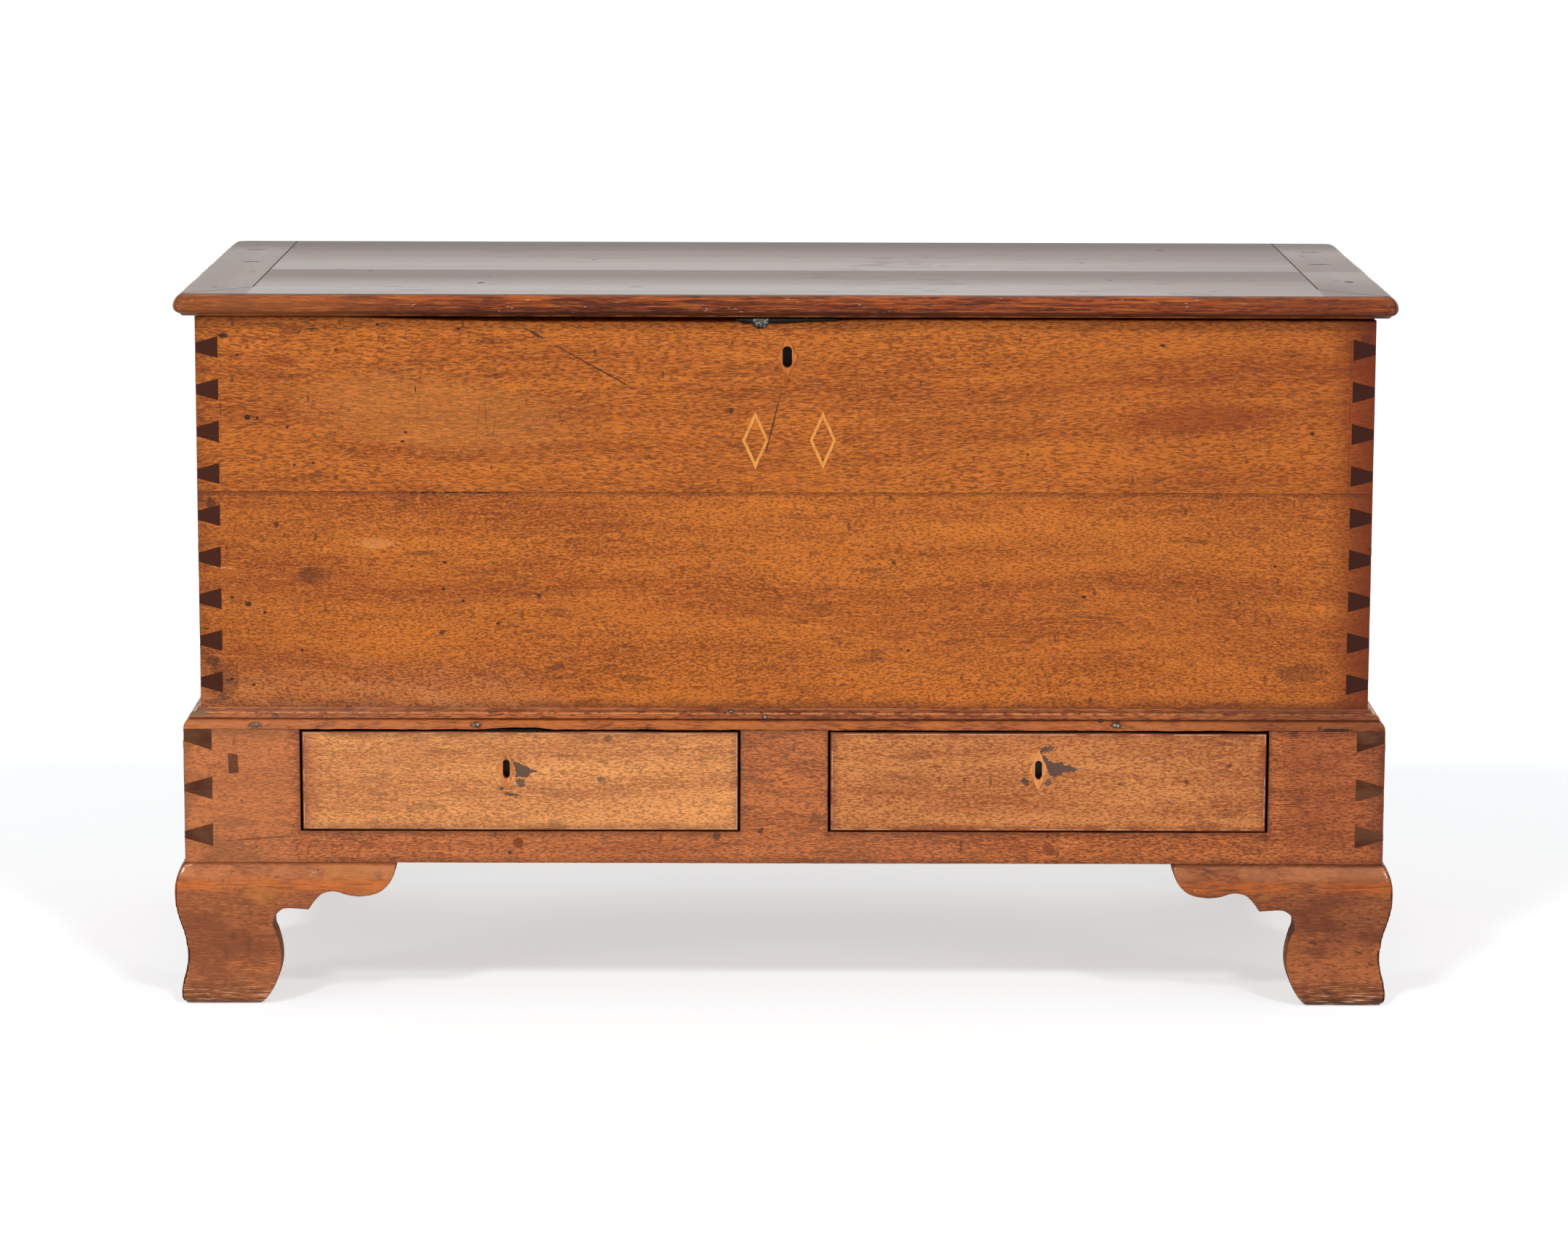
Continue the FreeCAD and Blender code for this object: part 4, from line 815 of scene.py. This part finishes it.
def lock_plate():
    """Near-black, as painted shade where it shows through the keyhole; rubbed bright along its top, with
    painted glints.
    """
    metal = Finish("lock_plate")
    patches = metal.cloud((metal.x * 120, metal.y * 120, metal.z * 120), 4.0, 0.6)
    # near-black: painted shade of the keyhole
    metal.colour = metal.mix(patches.step(0.42, 0.66), paint(24, 20, 18), paint(40, 26, 20))
    metal.rough = 0.6
    rubbed = (metal.z + (patches - 0.5) * 0.006).step(0.6655, 0.6675)
    rubbed = rubbed * abs(metal.x + 0.0242).step(0.0085, 0.0065) * patches.step(0.30, 0.45)
    specks = metal.cloud((metal.x * 520, metal.y * 520, metal.z * 520), 2.0)
    metal.lay(rubbed * 0.75, paint(104, 106, 96), rough=0.5)
    # white specks on the rubbed iron: painted glints
    metal.lay(rubbed * specks.step(0.53, 0.60), paint(214, 212, 206), rough=0.35)
    metal.relief = patches * 0.1
    return metal.close(metallic=rubbed * 0.5)


upper_wood, lower_wood, side_wood = upper_front(), lower_front(), case_sides()
moulding_wood = mouldings("moulding_mahogany", "x")
moulding_side_wood = mouldings("moulding_side_mahogany", "y")
base_wood, base_side_wood = base_boards("base_mahogany", "x"), base_boards("base_side_mahogany", "y")
drawer_wood = drawer_fronts()
foot_wood, foot_side_wood = feet("foot_mahogany", "x"), feet("foot_side_mahogany", "y")
lid_wood, clamp_wood = lid_boards("lid_mahogany", "x"), lid_boards("clamp_mahogany", "y")
pine_x, pine_y = softwood("pine_long", "x"), softwood("pine_deep", "y", 2.0)
pine_z = softwood("pine_upright", "z", 4.0)
oak_x, oak_y = oak_wood("oak_long", "x"), oak_wood("oak_deep", "y")
box_wood, string_wood = boxwood(), light_string()
iron = dull_metal("iron", paint(74, 70, 66), paint(70, 44, 30), 0.5, 0.7)
steel = dull_metal("steel", paint(176, 174, 168), paint(110, 96, 80), 0.34, 1.0)
nail_iron = dull_metal("nail_iron", paint(128, 126, 120), paint(58, 44, 36), 0.45, 0.7)


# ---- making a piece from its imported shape

FLAT = math.radians(0.6)
ARRIS = math.radians(32)
FOLD = math.radians(150)
SOFT = math.radians(38)

# without a seed the noise of drift would start from the clock
noise.seed_set(1)


def object_of(name, block, *materials):
    """A new object in the scene with the block's mesh."""
    mesh = bpy.data.meshes.new(name)
    block.to_mesh(mesh)
    for material in materials:
        mesh.materials.append(material)
    return show(bpy.data.objects.new(name, mesh))


def block_of(node):
    """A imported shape, welded, with its flat faces whole again."""
    block = bmesh.new()
    block.from_mesh(frame["nodes"][node].data)
    bmesh.ops.remove_doubles(block, verts=block.verts, dist=2e-6)
    bmesh.ops.dissolve_limit(block, angle_limit=FLAT, verts=block.verts, edges=block.edges)
    return block


def cut_across(block, place, across, dist=1e-6):
    whole = [*block.verts, *block.edges, *block.faces]
    bmesh.ops.bisect_plane(block, geom=whole, dist=dist, plane_co=place, plane_no=across)


def stops(start, stop, pitch):
    count = max(1, round((stop - start) / pitch))
    return [start + (stop - start) * (index + 0.5) / count for index in range(count)]


def saw(block, node, axis, places):
    """Cuts every face along an axis, at a pitch or at places, so that an edge can wander there."""
    way = "xyz".index(axis)
    across = Vector([float(way == index) for index in range(3)])
    if isinstance(places, float):
        low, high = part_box(node)
        places = stops(low[way], high[way], places)
    for place in places:
        cut_across(block, across * place, across)


def arris_weights(block, width_at, widest):
    """Marks how far each outer arris is rounded; width_at takes the arris's middle."""
    layer = block.edges.layers.float.new("bevel_weight_edge")
    for edge in block.edges:
        if len(edge.link_faces) != 2 or not edge.is_convex or edge.calc_face_angle(0) < ARRIS:
            continue
        edge[layer] = min(1.0, width_at(middle_of(edge)) / widest) if widest else 0.0


def middle_of(edge):
    return (edge.verts[0].co + edge.verts[1].co) / 2


def seen_mesh(block, kind, **settings):
    """The block's mesh with one modifier applied."""
    holder = object_of("shaping", block, None, None)
    change = holder.modifiers.new("change", kind)
    for key, value in settings.items():
        setattr(change, key, value)
    seen = holder.evaluated_get(bpy.context.evaluated_depsgraph_get())
    shaped = bmesh.new()
    shaped.from_mesh(seen.to_mesh())
    seen.to_mesh_clear()
    mesh = holder.data
    bpy.data.objects.remove(holder)
    bpy.data.meshes.remove(mesh)
    shaped.normal_update()
    return shaped


def gap_to(edge, spot):
    start, stop = edge.verts[0].co, edge.verts[1].co
    share = intersect_point_line(spot, start, stop)[1]
    return (start.lerp(stop, min(1.0, max(0.0, share))) - spot).length


def rounded(block, widest, segments):
    """Rounds the marked arrises, less where they would fold over. The new faces get material 1."""
    layer = block.edges.layers.float["bevel_weight_edge"]
    if not any(edge[layer] for edge in block.edges):
        block.normal_update()
        return block
    settings = {"limit_method": "WEIGHT", "width": widest, "segments": segments}
    settings |= {"use_clamp_overlap": False, "material": 1}
    shaped = seen_mesh(block, "BEVEL", **settings)
    for kept in (0.35, 0.35, 0.0, 0.0):
        folds = [edge for edge in shaped.edges if edge.is_manifold and edge.calc_face_angle(0) > FOLD]
        if not folds:
            break
        spots = [middle_of(edge) for edge in folds]
        for edge in block.edges:
            if edge[layer] and any(gap_to(edge, spot) < 0.002 for spot in spots):
                edge[layer] *= kept
        shaped.free()
        shaped = seen_mesh(block, "BEVEL", **settings)
    block.free()
    return shaped


def strip_width(vert):
    """The width of the narrowest rounded strip at a vertex, which wear may not pass."""
    strips = [face for face in vert.link_faces if face.material_index == 1]
    return min((2 * face.calc_area() / face.calc_perimeter() for face in strips), default=1.0)


def dented(spot, pitch, finer):
    return noise.noise(spot * pitch) + 0.5 * noise.noise(spot * finer)


def rub(block, depth):
    """Wears the rounded arrises unevenly."""
    moves = {}
    for vert in block.verts:
        faces = vert.link_faces
        share = sum(face.material_index == 1 for face in faces) / max(1, len(faces))
        if share:
            worn_off = max(0.0, dented(vert.co, 38, 38 * 3.1) + 0.15) * depth * share
            moves[vert] = min(worn_off, 0.7 * strip_width(vert))
    for vert, move in moves.items():
        vert.co -= vert.normal * move


def drift(block, amount=0.0003, seed=0.0):
    """Old boards are never quite true: a slow wander, the same for pieces that meet."""
    for vert in block.verts:
        vert.co += noise.noise_vector(vert.co * 4.2 + Vector((seed, 0, 0))) * amount


def finish_piece(name, block, material, nodes, body=None):
    """Makes the object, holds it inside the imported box, and puts it in place of its nodes."""
    for vert in block.verts:
        for axis in range(3):
            vert.co[axis] = min(max(vert.co[axis], cad_low[axis]), cad_high[axis])
    for face in block.faces:
        face.smooth = True
        face.material_index = 0
    piece = object_of(name, block, material)
    block.free()
    piece.data.set_sharp_from_angle(angle=SOFT)
    weigh = piece.modifiers.new("flats", "WEIGHTED_NORMAL")
    weigh.weight, weigh.keep_sharp = 50, True
    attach(piece, body or body_of[nodes[0]])
    if nodes:
        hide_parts(*nodes)
    return piece


def worn(node, material, width, widest=None, cuts=(), wear=0.0, wander=True, shape=None, segments=2):
    """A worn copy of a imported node: sawn, rounded, rubbed and let go a little out of true.

    The width of its rounding is a number, or a function of an arris's middle with a widest beside it.
    """
    block = block_of(node)
    widest = widest or width
    arris_weights(block, width if callable(width) else lambda middle: width, widest)
    for axis, places in cuts:
        saw(block, node, axis, places)
    block = rounded(block, widest, segments)
    bmesh.ops.dissolve_degenerate(block, edges=block.edges, dist=3e-5)
    block.normal_update()
    if wear:
        rub(block, wear)
    if shape:
        shape(block)
    if wander:
        drift(block)
    return finish_piece(node + "_worn", block, material, [node])


def smoothed(block):
    ways = {f"use_axis_{axis}": True for axis in "xyz"}
    bmesh.ops.smooth_vert(block, verts=block.verts, factor=0.5, **ways)


def weathered(node, material, shape):
    """A copy in a fine even mesh, its arrises rubbed round and dented by hand and broom."""
    grain, wear = 0.0015, 0.0009
    block = seen_mesh(block_of(node), "REMESH", mode="VOXEL", voxel_size=grain)
    sharp = {}
    for vert in block.verts:
        middle = sum((edge.other_vert(vert).co for edge in vert.link_edges), Vector()) / len(vert.link_edges)
        sharp[vert] = min(1.0, (middle - vert.co).length / (grain * 0.3))
    smoothed(block)
    smoothed(block)
    block.normal_update()
    for vert in block.verts:
        if sharp[vert] > 0.15:
            vert.co -= vert.normal * max(0.0, dented(vert.co, 40, 130) + 0.1) * wear * sharp[vert]
    smoothed(block)
    shape(block)
    drift(block)
    return finish_piece(node + "_worn", block, material, [node])


# ---- worn pieces

SEAM = 0.00028
FINE = 0.0006  # a vertex this near a corner is on it


def ease(value, start, stop):
    share = min(1.0, max(0.0, (value - start) / (stop - start)))
    return share * share * (3 - 2 * share)


def waver(value, pitch, seed):
    return noise.noise(Vector((value * pitch, seed, 0.3)))


def at_corner(spot, side, front):
    return abs(abs(spot.x) - side) < FINE and abs(spot.y - front) < FINE


def case_arris(middle):
    """The front corners and the top arris are worn round; joints stay tight."""
    if at_corner(middle, case["side"], case["front"]):
        return 0.0013
    if middle.z > 0.676 and middle.y < case["front"] + 0.001:
        return 0.0016
    if abs(middle.z - case["seam"]) < 0.001:
        return 0.0004
    return SEAM


def lid_gap_at(x):
    """How far the front board's worn top edge lies under the lid; the notch is at the lock."""
    gap = 0.0015 + 0.0042 * ease(x, -0.44, -0.28) - 0.0026 * ease(x, 0.02, 0.09)
    gap += 0.0020 * ease(x, -0.045, -0.040) * ease(x, 0.03, -0.012)
    notch = ease(x, -0.0325, -0.0290) * ease(x, -0.0160, -0.0195)
    gap += (0.0042 + 0.0016 * waver(x, 260, 8.0)) * notch
    return gap + waver(x, 45, 2.0) * 0.0005 + waver(x, 160, 5.0) * 0.0003


def upper_board_shape(block):
    for vert in block.verts:
        share = ease(vert.co.z, 0.654, 0.6735) * (abs(vert.co.x) < case["side"] + 0.001)
        if share and vert.co.y < case["front"] + 0.012:
            vert.co.z += share * (lid["under"] - lid_gap_at(vert.co.x) - 0.6765)


def moulding_shape(block):
    """The ovolo's lower edge is chipped and rubbed away in places."""
    for vert in block.verts:
        share = ease(vert.co.z, 0.2850, 0.2765)
        worn_up = 0.0003 + 0.0007 * max(0.0, waver(vert.co.x, 21, 1.0)) + 0.0004 * waver(vert.co.x, 90, 4.0)
        worn_up += 0.0017 * ease(vert.co.x, -0.302, -0.268) * ease(vert.co.x, -0.222, -0.246)
        vert.co.z += share * max(0.0, worn_up)
        if vert.co.y < -0.262:
            vert.co.y += share * max(0.0, worn_up) * 0.45


def drawer_shape(block):
    """Shrunk a little, most at the top and the outer end, and no longer quite straight."""
    for vert in block.verts:
        spot = vert.co
        centre = math.copysign(drawer["centre"], spot.x)
        top, end = ease(spot.z, 0.2705, 0.2715), ease(abs(spot.x - centre), 0.2105, 0.2120)
        spot.z -= top * (0.0007 + 0.0005 * waver(spot.x, 14, 6.0))
        spot.x -= end * math.copysign(0.0007, spot.x - centre)
        spot.z += (1 - top) * ease(spot.z, 0.1775, 0.1765) * 0.0003
    drift(block, 0.0005, 9.0)


def base_arris(middle):
    if at_corner(middle, base["side"], base["front"]):
        return 0.0016
    by_opening = 0.172 < middle.z < 0.2765 and 0.040 < abs(middle.x) < 0.478
    return 0.0008 if by_opening and abs(middle.y - base["front"]) < 0.001 else SEAM


def toe(block):
    """The sole is drawn in under the toe, and its top stays against the base."""
    side, front = base["side"], base["front"]
    for vert in block.verts:
        spot, low = vert.co, ease(vert.co.z, 0.0042, 0.0018) * 0.0016
        spot.y += low * ease(spot.y, front + 0.016, front + 0.004)
        spot.x -= low * ease(abs(spot.x), side - 0.016, side - 0.004) * math.copysign(1, spot.x)


def nose_rub(block):
    """The lid's moulded edge is worn in long shallow patches."""
    for vert in block.verts:
        spot = vert.co
        reach = max(abs(spot.x) - (lid["side"] - 0.0095), lid["front"] + 0.0095 - spot.y)
        share = ease(reach, 0.0, 0.002)
        dent = noise.noise(Vector((spot.x * 16, spot.y * 16, spot.z * 50))) + 0.5 * noise.noise(spot * 90)
        vert.co -= vert.normal * min(share * max(0.0, dent + 0.1) * 0.0006, 0.7 * strip_width(vert))


case_wear = {"wear": 0.0006, "segments": 3}
base_wear = {"wear": 0.0008, "segments": 3}
ovolo_cuts = ("z", [0.2765, 0.2790, 0.2820])
notch_cuts = ("x", stops(-0.046, -0.010, 0.0012))

worn("front_upper_board", upper_wood, case_arris, 0.0016, [("x", 0.008), notch_cuts], 0.0007,
     shape=upper_board_shape, segments=3)
worn("front_lower_board", lower_wood, case_arris, 0.0013, [("x", 0.03), ("z", 0.008)], **case_wear)
for hand in ("left", "right"):
    worn(f"{hand}_case_side", side_wood, case_arris, 0.0013, [("z", 0.008), ("y", 0.05)], **case_wear)
    worn(f"{hand}_waist_moulding", moulding_side_wood, 0, cuts=[("y", 0.008), ovolo_cuts],
         shape=moulding_shape)
    worn(f"{hand}_base_side", base_side_wood, base_arris, 0.0016, [("z", 0.007), ("y", 0.05)], **base_wear)
    worn(f"{hand}_drawer_front", drawer_wood, 0.0003, cuts=[("x", 0.010)], wander=False, shape=drawer_shape)
    weathered(f"{hand}_front_foot_front_bracket", foot_wood, toe)
    for end in ("front", "rear"):
        weathered(f"{hand}_{end}_foot_side_bracket", foot_side_wood, toe)
    worn(f"lid_{hand}_clamp", clamp_wood, SEAM, cuts=[("y", 0.007)], shape=nose_rub)
worn("front_waist_moulding", moulding_wood, 0, cuts=[("x", 0.003), ovolo_cuts], shape=moulding_shape)
worn("base_front_board", base_wood, base_arris, 0.0016, [("x", 0.012), ("z", 0.008)], **base_wear)
worn("lid_front_board", lid_wood, SEAM, cuts=[("x", 0.006)], shape=nose_rub)
worn("lid_back_board", lid_wood, SEAM)


def both(*names):
    return [f"{hand}_{name}" for hand in ("left", "right") for name in names]


plain = (
    (pine_x, ["back_upper_board", "back_lower_board", "base_back_board", *both("rear_foot_back_bracket")]),
    (pine_y, ["base_bottom_boards", "chest_floor_boards", "centre_runner", "centre_guide", "outer_guides"]),
    (pine_y, ["outer_runners"]),
    (pine_z, ["foot_glue_blocks"]),
    (peg_wood(), ["rail_pegs"]),
    (string_wood, ["front_inlay"]),
    (chest_lozenge(), ["chest_escutcheon"]),
    (lock_plate(), ["chest_lock_case"]),
    (iron, ["hinge_case_leaves", "hinge_pins", "lid_left_strap", "lid_right_strap", "lid_link_plate"]),
    (iron, both("drawer_lock_case")),
    (steel, ["chest_lock_bolt", *both("drawer_lock_bolt")]),
    (oak_x, both("drawer_back", "drawer_bottom")),
    (oak_y, both("drawer_left_side", "drawer_right_side")),
    (box_wood, both("drawer_escutcheon")),
)
for material, nodes in plain:
    for node in nodes:
        mesh = frame["nodes"][node].data
        mesh.materials.clear()
        mesh.materials.append(material)


# ---- screws and nails

HEAD = 0.0011
ABOUT_TOP = -1e-5


def head_shape(radius, slotted, turn):
    """A head with its face at z = 0: countersunk with a slot, or the low dome of a cut nail."""
    head = bmesh.new()
    sunk = Matrix.Translation((0, 0, -HEAD / 2))
    bmesh.ops.create_cone(head, cap_ends=True, segments=24, radius1=radius * 0.7, radius2=radius, depth=HEAD,
                          matrix=sunk)
    if slotted:
        for side in (-1, 1):
            cut_across(head, (side * radius * 0.17, 0, 0), (1, 0, 0), 0)
    crown = [face for face in head.faces if face.calc_center_median().z > ABOUT_TOP]
    if slotted:
        slot = [face for face in crown if abs(face.calc_center_median().x) < radius * 0.1]
        bmesh.ops.inset_region(head, faces=slot, thickness=0.00005, depth=-0.0006)
    else:
        bmesh.ops.inset_region(head, faces=crown, thickness=radius * 0.45, depth=0.0003)
        for vert in head.verts:
            vert.co.xy *= 1 + 0.12 * noise.noise(Vector((vert.co.x * 900, vert.co.y * 900, turn)))
    bmesh.ops.rotate(head, verts=head.verts, matrix=Matrix.Rotation(turn, 3, "Z"))
    return head


def drive(name, body, spots, radius, material=iron, slotted=True, proud=0.00015, turns=(0.4, 2.3)):
    """One object for all the heads of one fitting; a spot is a place on the face and where it looks."""
    block = bmesh.new()
    for index, (place, out) in enumerate(spots):
        head = head_shape(radius, slotted, turns[0] + turns[1] * index)
        way = Vector(out).to_track_quat("Z", "Y").to_matrix().to_4x4()
        head.transform(Matrix.Translation(Vector(place) + Vector(out) * proud) @ way)
        mesh = bpy.data.meshes.new("head")
        head.to_mesh(mesh)
        head.free()
        block.from_mesh(mesh)
        bpy.data.meshes.remove(mesh)
    return finish_piece(name, block, material, [], body)


UP, DOWN, BACK = (0, 0, 1), (0, 0, -1), (0, 1, 0)
STRAP_SCREWS = ((0.007, 0.226), (-0.006, 0.170), (0.004, 0.112), (0, 0.050))
LEAF_SCREWS = ((-0.009, 0.655), (0.009, 0.655), (0.0, 0.620))
for hand in ("left", "right"):
    low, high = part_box(f"lid_{hand}_strap")
    middle = (low[0] + high[0]) / 2
    spots = [((middle + shift, y, lid["under"]), DOWN) for shift, y in STRAP_SCREWS]
    drive(f"{hand}_strap_screws", "lid", spots, 0.0040)
    spots = [((middle + shift, case["back"] + 0.003, z), BACK) for shift, z in LEAF_SCREWS]
    drive(f"{hand}_leaf_screws", "carcase", spots, 0.0040)
    low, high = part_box(f"{hand}_drawer_lock_case")
    heights = low[2] + 0.007, high[2] - 0.012
    spots = [((x, high[1], z), BACK) for x in (low[0] + 0.007, high[0] - 0.007) for z in heights]
    drive(f"{hand}_drawer_lock_screws", f"{hand}_drawer", spots, 0.0030)


def end_screws(name, body, node, height, out):
    """A screw near each end of an iron, on its centre line."""
    low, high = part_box(node)
    z = high[2] if height is None else height
    spots = [((x, (low[1] + high[1]) / 2, z), out) for x in (low[0] + 0.005, high[0] - 0.005)]
    drive(name, body, spots, 0.0030)


end_screws("chest_lock_screws", "carcase", "chest_lock_case", None, UP)
end_screws("link_plate_screws", "lid", "lid_link_plate", lid["under"], DOWN)

# cut nails through the waist moulding, their rubbed heads a little below its surface
NAILS = (
    (-0.4979, 0.2874), (-0.5194, 0.2786), (-0.5160, 0.2795), (-0.3037, 0.2792), (-0.3000, 0.2800),
    (-0.0524, 0.2914), (-0.0190, 0.2871), (0.3092, 0.2843), (0.3228, 0.2807), (0.3260, 0.2800),
)
moulding = bpy.data.objects["front_waist_moulding_worn"]
hits = [moulding.ray_cast((x, -0.35, z), BACK) for x, z in NAILS]
spots = [(spot, out) for _, spot, out, _ in hits]
drive("moulding_nails", "carcase", spots, 0.0015, nail_iron, False, -0.0001, (0, 1.7))


# ---- floor and light


def shown_rays(tree):
    """1 for what the camera sees, straight or in a polished face."""
    path = tree.nodes.new("ShaderNodeLightPath")
    rays = [Wire(tree, path.outputs[f"Is {kind} Ray"]) for kind in ("Camera", "Glossy", "Transmission")]
    return (rays[0] + rays[1] + rays[2]).least(1.0)


def lay_floor():
    material = bpy.data.materials.new("pale_floor")
    tree = bare_tree(material)
    plain_floor = add_node(tree, "BsdfDiffuse", {}, (0.8, 0.8, 0.8, 1))
    bright = add_node(tree, "BsdfDiffuse", {}, (0.65, 0.68, 0.70, 1))
    glow = add_node(tree, "Emission", {}, (1, 1, 1, 1), 0.54)
    lit = add_node(tree, "AddShader", {}, bright, glow)
    lead_out(add_node(tree, "MixShader", {}, shown_rays(tree), plain_floor, lit))
    block = bmesh.new()
    bmesh.ops.create_grid(block, x_segments=1, y_segments=1, size=40)
    object_of("floor", block, material)
    block.free()


def hang_sun(name, turn, height, level, spread):
    """Even light from one side: turn is from the front, towards +X. At 1 a square face shows as written."""
    lamp = bpy.data.lights.new(name, "SUN")
    lamp.energy, lamp.angle = level * math.pi, math.radians(spread)
    holder = show(bpy.data.objects.new(name, lamp))
    turn, height = math.radians(turn), math.radians(height)
    way = Vector((math.sin(turn) * math.cos(height), -math.cos(turn) * math.cos(height), math.sin(height)))
    holder.rotation_euler = way.to_track_quat("Z", "Y").to_euler()


def light_room():
    world = bpy.data.worlds.new("studio")
    bpy.context.scene.world = world
    tree = bare_tree(world)
    ambient = 0.34
    level = ambient + shown_rays(tree) * (1 - ambient)
    lead_out(add_node(tree, "Background", {}, (1, 1, 1, 1), level), "World")
    hang_sun("key_left", -30, 41, 0.27, 7)
    hang_sun("key_right", 30, 41, 0.23, 7)
    hang_sun("fill_left", -55, 14, 0.18, 12)
    hang_sun("fill_right", 55, 14, 0.14, 12)
    hang_sun("rear", 170, 38, 0.14, 70)


stand_camera()
lay_floor()
light_room()
bpy.context.scene.view_settings.view_transform = "Standard"
